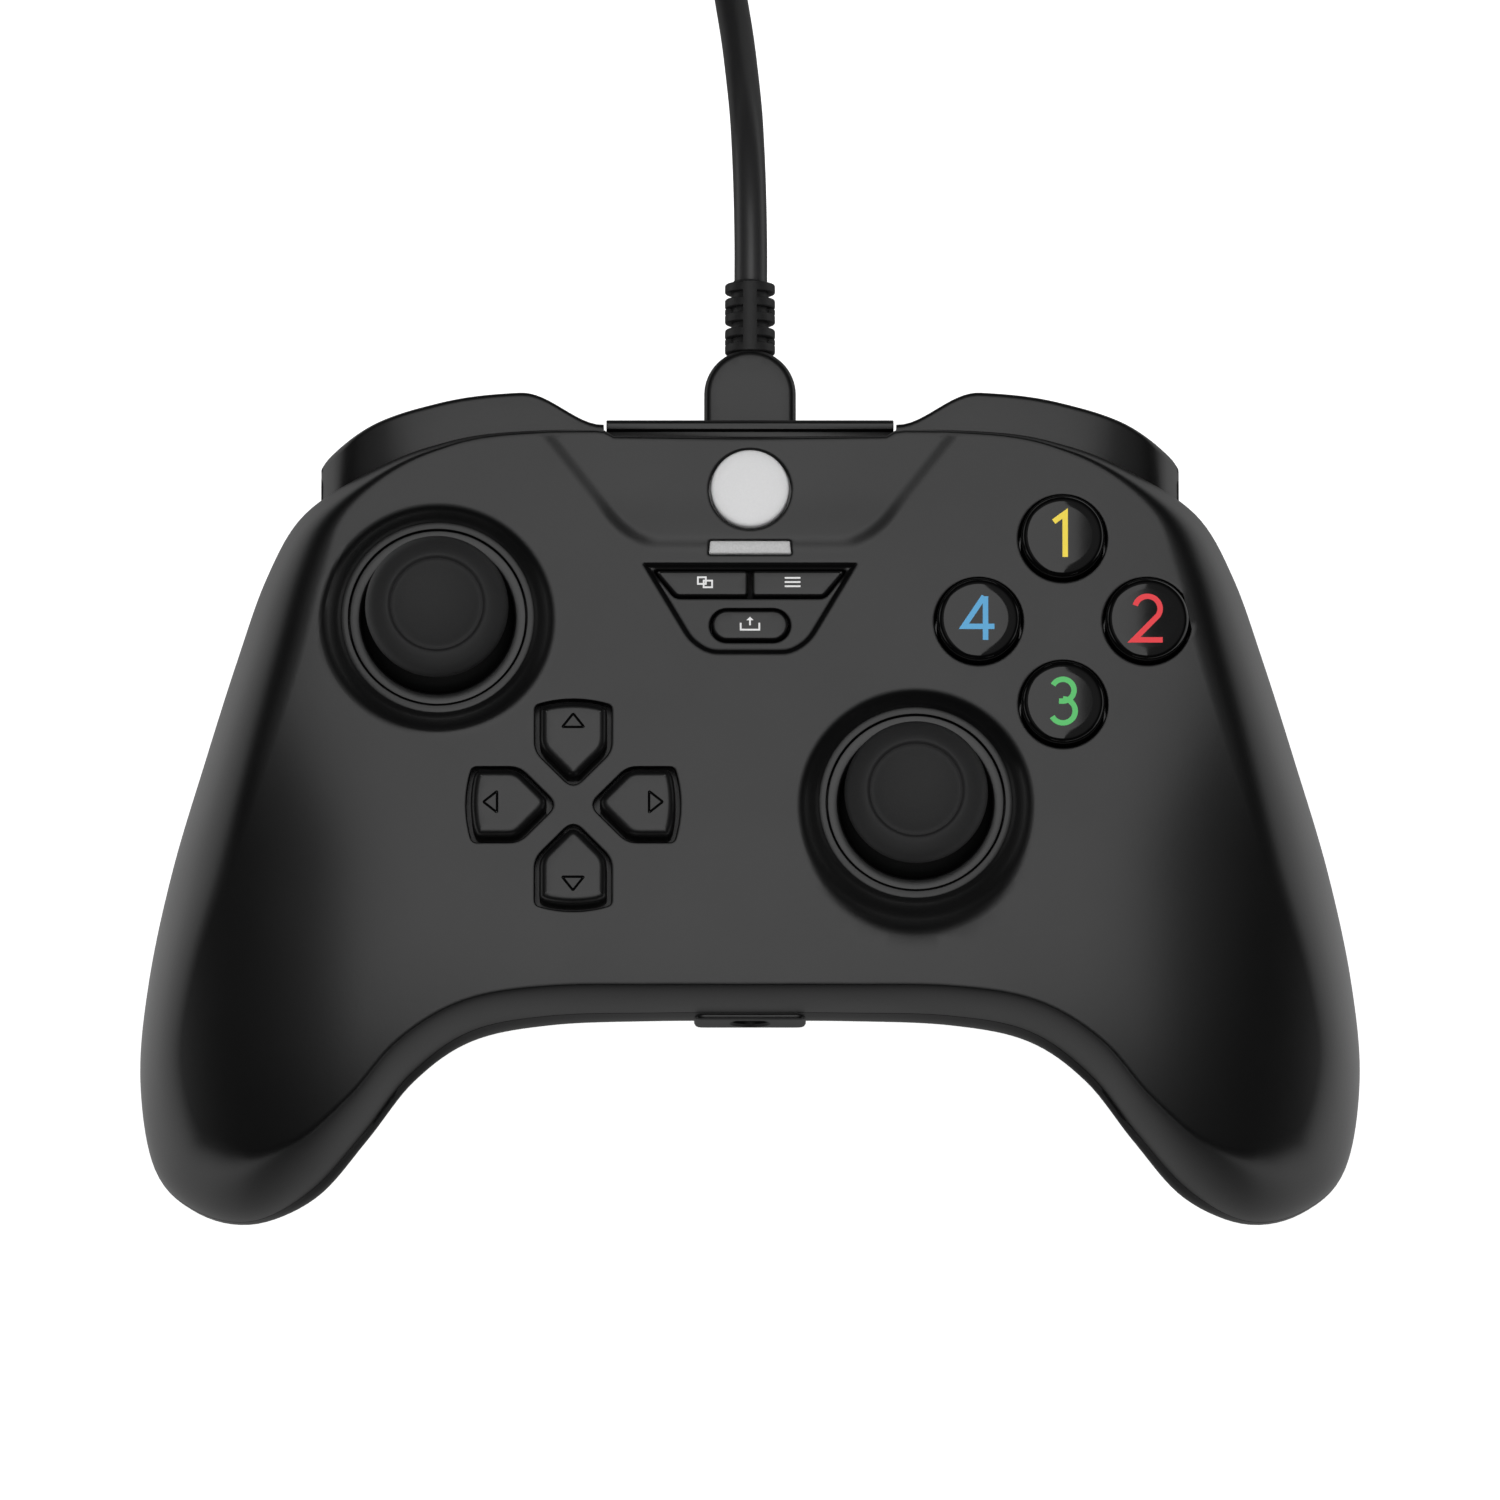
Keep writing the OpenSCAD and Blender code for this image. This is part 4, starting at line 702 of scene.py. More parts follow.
def laminate(name, colour):
    """Circuit board: solder mask over darker tracks."""
    f = Finish(name, Specular_IOR_Level=0.5)
    values = {"Vector": f.coords(), "Scale": 260.0, "Mortar Size": 0.06}
    tracks = f.node("ShaderNodeTexBrick", {"offset": 0.37}, values, "Fac")
    cloud = f.noise(400.0, 2.0)
    return f.feed(
        Base_Color=f.between(tracks, shade(colour, 0.8), shade(colour, 1.35)),
        Roughness=0.3 + 0.12 * cloud,
        Normal=f.bump(tracks, 0.1, 0.00004),
    )


FINISHES = {}


def colour_setting(name, description, value):
    return FloatVectorProperty(
        name=name, description=description, subtype="COLOR", size=3, min=0, max=1, default=value
    )


def length_setting(name, description, value, low, high):
    return FloatProperty(
        name=name, description=description, default=value, min=low, max=high, unit="LENGTH"
    )


def count_setting(name, description, value, low, high):
    return IntProperty(
        name=name, description=description, default=value, min=low, max=high, subtype="UNSIGNED"
    )


class GamepadColours(PropertyGroup):
    shell: colour_setting("Shell", "Moulded housing plastic", (0.0035, 0.0035, 0.0036))
    gloss: colour_setting("Gloss", "Polished face buttons", (0.0025, 0.0025, 0.0026))
    rubber: colour_setting("Rubber", "Stick caps and strain relief", (0.0105, 0.0105, 0.0108))
    cord: colour_setting("Cord", "Jacket of the cord", (0.018, 0.018, 0.0185))
    pale: colour_setting("Pale trim", "Home button", (0.7, 0.7, 0.705))
    lamp: colour_setting("Light bar", "Frosted light bar", (0.5, 0.5, 0.5))
    print_white: colour_setting("Print", "White pictograms", (0.8, 0.8, 0.8))
    numeral_top: colour_setting("Top numeral", "Numeral on the far face button", (0.92, 0.71, 0.045))
    numeral_right: colour_setting("Right numeral", "Numeral on the right face button", (0.82, 0.018, 0.032))
    numeral_bottom: colour_setting("Bottom numeral", "Numeral on the near face button", (0.08, 0.54, 0.13))
    numeral_left: colour_setting("Left numeral", "Numeral on the left face button", (0.08, 0.38, 0.68))


class GamepadSizes(PropertyGroup):
    edge_step: length_setting("Edge step", "Spacing of points along the housing edge", 0.0011, 0.0005, 0.004)
    face_step: length_setting("Face step", "Spacing of points over the face", 0.0015, 0.0008, 0.004)
    roll_steps: count_setting("Roll steps", "Steps in the rolled edge", 14, 4, 32)
    segments: count_setting("Segments", "Segments of turned pieces", 112, 32, 256)
    cord_sides: count_setting("Cord sides", "Sides of the cord", 18, 8, 32)
    numeral_size: length_setting("Numeral size", "Height of the face button numerals", 0.0062, 0.003, 0.008)
    stroke: length_setting("Numeral stroke", "Width of the numerals' strokes", 0.00068, 0.0003, 0.0012)


def sizes():
    return bpy.context.scene.gamepad_sizes


def mix_finishes():
    c = bpy.context.scene.gamepad_colours
    FINISHES.update(
        shell=moulded("Moulded black", c.shell, 0.33),
        pad=moulded("Moulded pads", c.shell, 0.32, 0.06),
        gloss=polished("Polished black", c.gloss),
        ring=moulded("Moulded ring", shade(c.shell, 1.2), 0.32, 0.06, specular=0.6),
        rubber=rubbery("Soft rubber", c.rubber),
        # Stick caps' rubber with painted shade on the skirt and dome under the cap, fading out from 46.5 to 51
        # mm high
        stick=rubbery("Stick rubber", c.rubber, 0.62, (0.0465, 0.051)),
        relief=rubbery("Relief rubber", shade(c.rubber, 0.9), 0.5),
        cord=moulded("Cord jacket", c.cord, 0.36, 0.05, 1800.0),
        pale=frosted("Pale trim", c.pale, 0.05),
        lamp=frosted("Frosted lamp", c.lamp, 0.22),
        ink=inked("White print", c.print_white),
        steel=brushed("Plated steel", (0.62, 0.63, 0.65)),
        board=laminate("Circuit board", (0.02, 0.09, 0.04)),
        silicone=rubbery("Silicone mat", (0.3, 0.3, 0.31), 0.5),
        socket=moulded("Socket grey", (0.09, 0.09, 0.1), 0.45),
        white=moulded("Inner white", (0.6, 0.6, 0.6), 0.4),
    )
    for key in ("top", "right", "bottom", "left"):
        FINISHES["numeral_" + key] = inked("Numeral " + key, getattr(c, "numeral_" + key))


def from_tree(holder, name, inputs, parts, links, finish):
    """Mesh of a geometry node tree whose copies are realised and painted; the object under it goes."""
    tree = bpy.data.node_groups.new(name, "GeometryNodeTree")
    tree.interface.new_socket("Geometry", in_out="OUTPUT", socket_type="NodeSocketGeometry")
    tree.interface.new_socket("Geometry", in_out="INPUT", socket_type="NodeSocketGeometry")
    keys = {}
    for label, (kind, _) in inputs.items():
        keys[label] = tree.interface.new_socket(label, in_out="INPUT", socket_type=kind).identifier
    parts = {
        "given": ("NodeGroupInput", {}, {}),
        "copies": ("GeometryNodeInstanceOnPoints", {}, {}),
        "real": ("GeometryNodeRealizeInstances", {}, {}),
        "paint": ("GeometryNodeSetMaterial", {}, {"Material": FINISHES[finish]}),
        "out": ("NodeGroupOutput", {}, {}),
        **parts,
    }
    nodes = {}
    for key, (kind, settings, values) in parts.items():
        nodes[key] = tree.nodes.new(kind)
        for setting, value in settings.items():
            setattr(nodes[key], setting, value)
        for socket, value in values.items():
            nodes[key].inputs[socket].default_value = value
    for source, output, target, socket in (
        *links, ("copies", 0, "real", 0), ("real", 0, "paint", 0), ("paint", 0, "out", 0)
    ):
        tree.links.new(nodes[source].outputs[output], nodes[target].inputs[socket])
    bpy.context.scene.collection.objects.link(holder)
    m = holder.modifiers.new(name, "NODES")
    m.node_group = tree
    for label, (_, value) in inputs.items():
        m[keys[label]] = value
    data = bpy.data.meshes.new_from_object(holder.evaluated_get(bpy.context.evaluated_depsgraph_get()))
    holder.modifiers.remove(m)
    bpy.data.objects.remove(holder)
    return data


# Cord route, repeated from the solids, in metres
RUN = [
    (0.0001, 0.066, 0.0293), (0.0001, 0.071, 0.0293), (0.0, 0.077, 0.0287), (-0.0002, 0.083, 0.0268),
    (-0.0005, 0.089, 0.0233), (-0.001, 0.095, 0.0184), (-0.0016, 0.101, 0.013), (-0.0024, 0.107, 0.0082),
    (-0.0032, 0.113, 0.005), (-0.004, 0.119, 0.0036), (-0.0046, 0.125, 0.00325), (-0.005, 0.131, 0.0032),
    (-0.0052, 0.137, 0.0032), (-0.0052, 0.142, 0.0032),
]
CORD_D = 0.0042
TURN_STEP = 0.00475
COIL_R = 0.033
COIL_AT = (-0.0382, 0.1472)
LAYER_TURNS = 3.6875


def coil_point(t):
    past = max(0.0, t - 4 * LAYER_TURNS)
    f = min(t, 4 * LAYER_TURNS - 0.0001) / LAYER_TURNS
    k = math.floor(f)
    s = f - k
    wave = (s if k % 2 == 0 else 1 - s) * LAYER_TURNS
    r = COIL_R - TURN_STEP * wave + 0.0066 * float(smooth(0, 0.3, past))
    z = 0.0032 + TURN_STEP * sum(float(smooth(-0.25, 0.25, t - n * LAYER_TURNS)) for n in (1, 2, 3))
    z += (0.0043 - z) * float(smooth(0.08, 0.5, past))
    a = 2 * math.pi * t
    return np.array([COIL_AT[0] + r * math.cos(a), COIL_AT[1] + r * math.sin(a), z])


def cord_path():
    per = 40
    end = 4 * LAYER_TURNS + 0.5
    run = curve_through(RUN, 5)
    steps = np.arange(1, int(math.ceil(end * per)))
    turns = [coil_point(i / per) for i in steps]
    last = coil_point(end)
    way = last - coil_point(end - 0.002)
    way /= np.linalg.norm(way)
    lead = [run[-1] + np.array([0, CORD_D * k / 3, 0]) for k in (1, 2, 3)]
    tail = [last] + [last + way * (CORD_D + 0.001) * k / 3 for k in (1, 2, 3)]
    return np.array(list(run) + lead + turns + tail)


def tube(path, r, sides):
    """A closed tube along a path, in metres."""
    s = Shape()
    rows = []
    for i, p in enumerate(path):
        d = path[min(i + 1, len(path) - 1)] - path[max(i - 1, 0)]
        d = d / np.linalg.norm(d)
        side = np.cross(d, (0, 0, 1))
        side /= np.linalg.norm(side)
        up = np.cross(side, d)
        a = (np.arange(sides) + 0.5) * 2 * math.pi / sides
        rows.append((p + r * (np.cos(a)[:, None] * side + np.sin(a)[:, None] * up)) / MM)
    s.loft(rows)
    return s


# Operators


class GAMEPAD_OT_stage(Operator):
    """Camera, lights, world and floor"""

    bl_idname = "gamepad.stage"
    bl_label = "Stage"

    LENS, SENSOR, TILT, FRAME_WIDTH, AIM_UP, AIM_BACK = 500, 36, 80, 0.1872, 0.01147, 0.036
    # Name, place, size, radiance, and whether polished faces mirror it
    LAMPS = (
        ("Softbox", (-0.0447, -0.045, 0.52), (0.2007, 0.63), 1.68, True),
        ("Side softbox", (0.10035, -0.045, 0.52), (0.0893, 0.63), 1.68, True),
        ("Ceiling", (0, 0, 1.3), (2.2, 2.2), 0.98, False),
    )

    def execute(self, context):
        scene = context.scene
        scene.view_settings.view_transform = "Standard"
        camera = bpy.data.objects.new("Camera", bpy.data.cameras.new("Camera"))
        scene.collection.objects.link(camera)
        camera.data.lens, camera.data.sensor_width = self.LENS, self.SENSOR
        tilt = math.radians(self.TILT)
        up = Vector((0, math.sin(tilt), math.cos(tilt)))
        back = Vector((0, -math.cos(tilt), math.sin(tilt)))
        target = up * self.AIM_UP + back * self.AIM_BACK
        camera.location = target + back * (self.FRAME_WIDTH * self.LENS / self.SENSOR)
        camera.rotation_mode = "QUATERNION"
        camera.rotation_quaternion = (-back).to_track_quat("-Z", "Y")
        camera.data.clip_end = 100
        scene.camera = camera
        for lamp in self.LAMPS:
            self.lamp(*lamp)
        self.world(scene)
        self.floor(scene)
        return {"FINISHED"}

    def lamp(self, name, at, size, radiance, mirrored):
        """A rectangular lamp that shines straight down."""
        data = bpy.data.lights.new(name, "AREA")
        data.shape = "RECTANGLE"
        data.size, data.size_y = size
        data.energy = radiance * math.pi * size[0] * size[1]
        obj = bpy.data.objects.new(name, data)
        bpy.context.scene.collection.objects.link(obj)
        obj.location = at
        obj.rotation_mode = "QUATERNION"
        obj.rotation_quaternion = Vector((0, 0, -1)).to_track_quat("-Z", "Y")
        obj.visible_camera = False
        obj.visible_glossy = mirrored

    def world(self, scene):
        world = bpy.data.worlds.new("Studio")
        scene.world = world
        world.use_nodes = True
        tree = world.node_tree
        tree.nodes.clear()
        out = tree.nodes.new("ShaderNodeOutputWorld")
        back = tree.nodes.new("ShaderNodeBackground")
        coords = tree.nodes.new("ShaderNodeTexCoord")
        split = tree.nodes.new("ShaderNodeSeparateXYZ")
        tree.links.new(coords.outputs["Generated"], split.inputs[0])
        aside, high = Sock(tree, split.outputs["X"]), Sock(tree, split.outputs["Z"])
        sides = aside.math("ABSOLUTE", aside).ramp(0.8, 0.96)
        low = 1.0 - high.ramp(0.1, 0.3)
        glow = 0.004 + low * (0.015 + 0.95 * sides) + 0.24 * high.ramp(0.6, 0.95)
        tree.links.new(glow.socket, back.inputs["Color"])
        tree.links.new(back.outputs[0], out.inputs[0])

    def floor(self, scene):
        s = Shape()
        sides = 96
        s.loft([level(circle((0, 0), r, sides), 0) for r in (12000, 3000, 600)], caps=False)
        s.faces.append(tuple(range(2 * sides, 3 * sides)))
        mesh = s.mesh("floor")
        f = Finish("Pale floor", Specular_IOR_Level=0.0)
        f.shader.inputs["Roughness"].default_value = 0.9
        grain = f.noise(30.0, 2.0)
        ray = lambda kind: f.node("ShaderNodeLightPath", output=kind)
        seen = ray("Is Camera Ray") + ray("Is Transmission Ray")
        f.feed(Base_Color=f.between(grain, (0.8, 0.8, 0.8), (0.84, 0.84, 0.84)))
        # Painted shadow in the reflections: to glossy rays the floor glows only 0.2 within about 5 cm of the
        # middle and 1.0 beyond 12 cm, so the rims mirror dark ground in front and bright ground at the sides
        split = f.node("ShaderNodeSeparateXYZ", {}, {0: f.coords()})
        beside = split.math("ABSOLUTE", split).ramp(0.05, 0.12)
        lit = f.node("ShaderNodeEmission", {}, {"Strength": 0.8 * seen})
        lit = f.node("ShaderNodeAddShader", {}, {0: Sock(f.tree, f.shader.outputs[0]), 1: lit})
        mirrored = f.node("ShaderNodeEmission", {}, {"Strength": 0.2 + 0.8 * beside})
        both = f.node("ShaderNodeMixShader", {}, {0: ray("Is Glossy Ray"), 1: lit, 2: mirrored})
        out = next(n for n in f.tree.nodes if n.type == "OUTPUT_MATERIAL")
        f.tree.links.new(both.socket, out.inputs[0])
        mesh.materials.append(f.material)
        obj = bpy.data.objects.new("floor", mesh)
        scene.collection.objects.link(obj)


class GAMEPAD_OT_cord(Operator):
    """Cord from the strain relief to its coil and plug"""

    bl_idname = "gamepad.cord"
    bl_label = "Cord"

    def execute(self, context):
        path = cord_path()
        data = tube(path, CORD_D / 2, sizes().cord_sides).mesh("cord")
        cord = place("cord", data, "cord", "housing", ("cord_run", "cord_coil"))
        tie = dressed("coil_strap", "coil_tie", "rubber", "housing", 0.25)
        grip = dressed("plug_grip", "usb_plug_grip", "relief", "housing", 1.1)
        shell = dressed("plug_shell", "usb_plug_shell", "steel", "housing", 0.12)
        return {"FINISHED"}


class GAMEPAD_OT_cable_end(Operator):
    """Plug head in the pad and the ribbed strain relief behind it"""

    bl_idname = "gamepad.cable_end"
    bl_label = "Cable end"

    HEAD_EDGE = 0.95

    def execute(self, context):
        self.head()
        self.relief()
        return {"FINISHED"}

    def head(self):
        w, t, start, end = 11.5, 7.4, 42.6, 57.0
        a = np.linspace(0, math.pi, 33)
        arch = np.stack([w / 2 * np.cos(a), end - w / 2 + w / 2 * np.sin(a)], 1)
        line = spaced(np.concatenate([arch, [(-w / 2, start), (w / 2, start)]]), 0.8)
        s = Shape()
        half = t / 2
        turns = np.radians(np.linspace(0, 90, 6))
        r = self.HEAD_EDGE
        curve = [(r * (1 - math.sin(a)), half - r * (1 - math.cos(a))) for a in turns]
        rings = []
        for by, z in [(by, -z) for by, z in curve] + curve[::-1]:
            ring = grown(line, -by)
            ring[:, 1] = np.maximum(ring[:, 1], start)
            rings.append((ring, USB_Z + z))
        top = s.solid(rings)
        ring = rings[-1][0]
        s.cover(top, ring, lambda p: USB_Z + half + 0.05 * smooth(0, 2, signed(p, ring)), step=1.0)
        place("plug_head", s.mesh("plug_head"), "shell", "housing", ("cable_plug",))

    def relief(self):
        core = Shape()
        profile = [
            (0, -3.9), (2.5, -3.9), (2.5, 0), (2.35, 0.4), (2.35, 8.6),
            (2.6, 8.9), (2.15, 9.05), (2.12, 9.2), (0, 9.2),
        ]
        core.lathe(profile, segments=48)
        for middle in (90, 270):
            self.bridge(core, middle, 16, 0.05, 8.95)
        for first in (1.0, 4.86):
            for middle in (0, 180):
                self.bridge(core, middle, 11, first, first + 0.85)
        data = joined(core.mesh("relief_core"), self.ribs())
        turned = Matrix.Rotation(math.radians(-90), 4, "X")
        data.transform(Matrix.Translation((0, 0.057, USB_Z * MM)) @ turned)
        place("cable_relief", data, "relief", "housing", ("strain_relief",))

    def bridge(self, core, middle, half, start, end):
        """Adds a strip along the relief that ties its ribs together, over a small turn round the core."""
        a = np.radians(np.linspace(middle - half, middle + half, 9))
        rows = []
        for y, r in ((start, 2.95), (start + 0.2, 3.15), (end - 0.2, 3.15), (end, 2.95)):
            outer = np.stack([r * np.cos(a), r * np.sin(a)], 1)
            inner = np.stack([2.0 * np.cos(a[::-1]), 2.0 * np.sin(a[::-1])], 1)
            rows.append(level(np.concatenate([outer, inner]), y))
        core.loft(rows)

    def ribs(self):
        """Five ribs along the relief, from one swept ring."""
        inputs = {
            "Count": ("NodeSocketInt", 5),
            "Pitch": ("NodeSocketFloat", 0.00193),
            "First": ("NodeSocketFloat", 0.0005),
            "Radius": ("NodeSocketFloat", 0.00265),
            "Depth": ("NodeSocketFloat", 0.001),
            "Length": ("NodeSocketFloat", 0.00118),
        }
        parts = {
            "start": ("ShaderNodeCombineXYZ", {}, {}),
            "gap": ("ShaderNodeCombineXYZ", {}, {}),
            "line": ("GeometryNodeMeshLine", {"mode": "OFFSET"}, {}),
            "ring": ("GeometryNodeCurvePrimitiveCircle", {}, {"Resolution": 48}),
            "section": ("GeometryNodeCurvePrimitiveQuadrilateral", {}, {}),
            "fillet": ("GeometryNodeFilletCurve", {"mode": "POLY"}, {"Radius": 0.00022, "Count": 3}),
            "sweep": ("GeometryNodeCurveToMesh", {}, {}),
        }
        links = (
            ("given", "First", "start", "Z"), ("start", 0, "line", "Start Location"),
            ("given", "Pitch", "gap", "Z"), ("gap", 0, "line", "Offset"), ("given", "Count", "line", "Count"),
            ("given", "Depth", "section", "Width"), ("given", "Length", "section", "Height"),
            ("given", "Radius", "ring", "Radius"), ("ring", 0, "sweep", "Curve"),
            ("section", 0, "fillet", 0), ("fillet", 0, "sweep", "Profile Curve"),
            ("line", 0, "copies", "Points"), ("sweep", 0, "copies", "Instance"),
        )
        holder = bpy.data.objects.new("ribs", bpy.data.meshes.new("ribs"))
        data = from_tree(holder, "Relief ribs", inputs, parts, links, "relief")
        bm = bmesh.new()
        bm.from_mesh(data)
        bmesh.ops.remove_doubles(bm, verts=bm.verts, dist=1e-7)
        bmesh.ops.recalc_face_normals(bm, faces=bm.faces)
        bm.to_mesh(data)
        bm.free()
        return data


class GAMEPAD_OT_front_housing(Operator):
    """Front shell with its collars, raised panel, sunk island and openings"""

    bl_idname = "gamepad.front_housing"
    bl_label = "Front housing"

    def execute(self, context):
        s = Shell(FRONT, front_top)
        holes = [circle(p, 11.12, 128) for p in STICKS.values()]
        holes += [circle(p, 5.5, 80) for p in BUTTONS.values()]
        holes.append(circle(HOME, 5.15, 80))
        holes += [spaced(line, 0.5) for line in (MENU_HOLE, SHARE_HOLE, LIGHT_HOLE)]
        holes += [spaced(pad_outline(0, k * math.pi / 2), 0.5) for k in range(4)]
        loops = [grown(s.boundary, -by) for by in (0.35, 0.8, 1.4)]
        for p in STICKS.values():
            loops += [circle(p, r, 128) for r in COLLAR_RADII[1:-1]]
        loops += [spaced(grown(PANEL, -by), 0.6) for by in (-0.3, 0, 0.3, 0.65, 1.0, 1.35, 1.65, 1.9, 2.3)]
        loops += [spaced(grown(ISLAND, -by), 0.5) for by in (-0.3, 0, 0.12, 0.35, 0.58, 0.7, 1.0)]
        step = sizes().face_step / MM
        flat, faces, chains = filled(s.boundary, holes, loops, step, (0.04, 0.08, 0.16, 0.4))
        z = self.height(flat, holes)
        # Thinner over the direction pad, which rocks up against it
        thick = WALL * (0.55 + 0.45 * smooth(14.5, 16.5, np.hypot(*(flat - DPAD).T)))
        over, under = s.skins(flat, faces, chains[0], z, z - thick)
        for chain in chains[1:]:
            s.strip([over[k] for k in chain], [under[k] for k in chain])
        data = s.mesh("front_housing", 2e-3)
        place("front_housing", data, "shell", "housing", ("front_shell",), 42)
        return {"FINISHED"}

    def height(self, p, holes):
        z = front_top(p) - 0.8 * smooth(0, 0.7, signed(p, ISLAND))
        for c in STICKS.values():
            lip = collar_z(np.linalg.norm(p - np.array(c), axis=1))
            gap = np.clip(0.5 + (lip - z) / 0.5, 0, 1)
            z = z * (1 - gap) + lip * gap + 0.25 * gap * (1 - gap) * 0.5
        for i, h in enumerate(holes):
            off = np.clip(-signed(p, h), 0, None)
            edge = 0.08 if i < 2 else 0.16
            z = z - edge * np.clip(1 - off / edge, 0, 1) ** 2
        return z


class GAMEPAD_OT_rear_housing(Operator):
    """Rear shell with its grips, hump, screw wells and trigger openings"""

    bl_idname = "gamepad.rear_housing"
    bl_label = "Rear housing"

    WELLS = ((60.5, -40, 4.5), (59, 0, 19), (21, 34, 9))

    def execute(self, context):
        s = Shell(REAR, floor_at)
        wells = [(m * x, y, z) for x, y, z in self.WELLS for m in (-1, 1)]
        holes = [circle((x, y), 2.6, 48) for x, y, _ in wells]
        loops = [grown(h, by) for h in holes for by in (0.15, 0.4)]
        flat, faces, chains = filled(s.boundary, holes, loops, sizes().face_step / MM * 1.15)
        z = floor_at(flat)
        for h in holes:
            z = z + 0.35 * np.clip(1 - np.clip(-signed(flat, h), 0, None) / 0.35, 0, 1) ** 2
        over, under = s.skins(flat, faces, chains[0], z, z + WALL)
        for chain, (_, _, top) in zip(chains[1:], wells):
            ring = s.add([(*flat[k], top) for k in chain])
            s.strip([over[k] for k in chain], ring)
            s.faces.append(tuple(ring))
            s.faces.append(tuple(under[k] for k in chain))
        data = s.mesh("rear_housing", 2e-3)
        obj = place("rear_housing", data, "shell", "housing", ("rear_shell",), 42)
        self.cut(obj)
        self.boss()
        return {"FINISHED"}

    def cut(self, obj):
        """Opens the shell behind each trigger."""
        c = Shape()
        for m in (-1, 1):
            x, w = 36.5 * m, 11.0
            line = rounded([(x - w, 34.4), (x + w, 34.4), (x + w, 56), (x - w, 56)], [1.6, 1.6, 0.4, 0.4])
            c.loft([level(line, z) for z in (-2, FACE_Z)])
        tool = bpy.data.objects.new("cutter", c.mesh("cutter"))
        bpy.context.scene.collection.objects.link(tool)
        m = obj.modifiers.new("Openings", "BOOLEAN")
        m.operation, m.solver, m.object = "DIFFERENCE", "EXACT", tool
        data = bpy.data.meshes.new_from_object(obj.evaluated_get(bpy.context.evaluated_depsgraph_get()))
        obj.modifiers.remove(m)
        bpy.data.objects.remove(tool)
        obj.data = data
        data.shade_smooth()
        data.set_sharp_from_angle(angle=math.radians(42))

    def boss(self):
        """Boss round the headset socket."""
        s = Shape()
        front, back_y = -27.2, -23.8
        line = rounded([(-7, JACK_Z - 3.6), (7, JACK_Z - 3.6), (7, JACK_Z + 3.8), (-7, JACK_Z + 3.8)], 1.3)
        line = spaced(line, 0.7)
        hole = circle((0, JACK_Z), 2.3, 56)
        loops = [grown(hole, 0.12), grown(hole, 0.35)]
        edge = grown(line, -0.45)
        flat, faces, chains = filled(edge, [hole], loops, 0.9)
        dip = 0.3 * np.clip(1 - np.clip(-signed(flat, hole), 0, None) / 0.3, 0, 1) ** 2
        ids = s.add(np.column_stack([flat[:, 0], front + dip, flat[:, 1]]))
        s.faces += [tuple(ids[k] for k in f) for f in faces]
        rings = [[ids[k] for k in chains[0]]]
        for by, y in ((0.18, front + 0.1), (0.0, front + 0.4), (0.0, back_y)):
            rings.append(s.add([(p[0], y, p[1]) for p in grown(line, -by)]))
        for a, b in zip(rings, rings[1:]):
            s.strip(a, b)
        bore = [s.add([(p[0], y, p[1]) for p in hole]) for y in (back_y - 0.5, back_y)]
        s.strip([ids[k] for k in chains[1]], bore[0])
        s.strip(bore[0], bore[1])
        flat2, faces2, chains2 = filled(line, [hole], [], 2.0)
        back = dict(zip(chains2[0] + chains2[1], rings[-1] + bore[1]))
        for i, p in enumerate(flat2):
            if i not in back:
                back[i] = s.add([(p[0], back_y, p[1])])[0]
        s.faces += [tuple(back[k] for k in f) for f in faces2]
        place("jack_boss", s.mesh("jack_boss"), "shell", "housing")


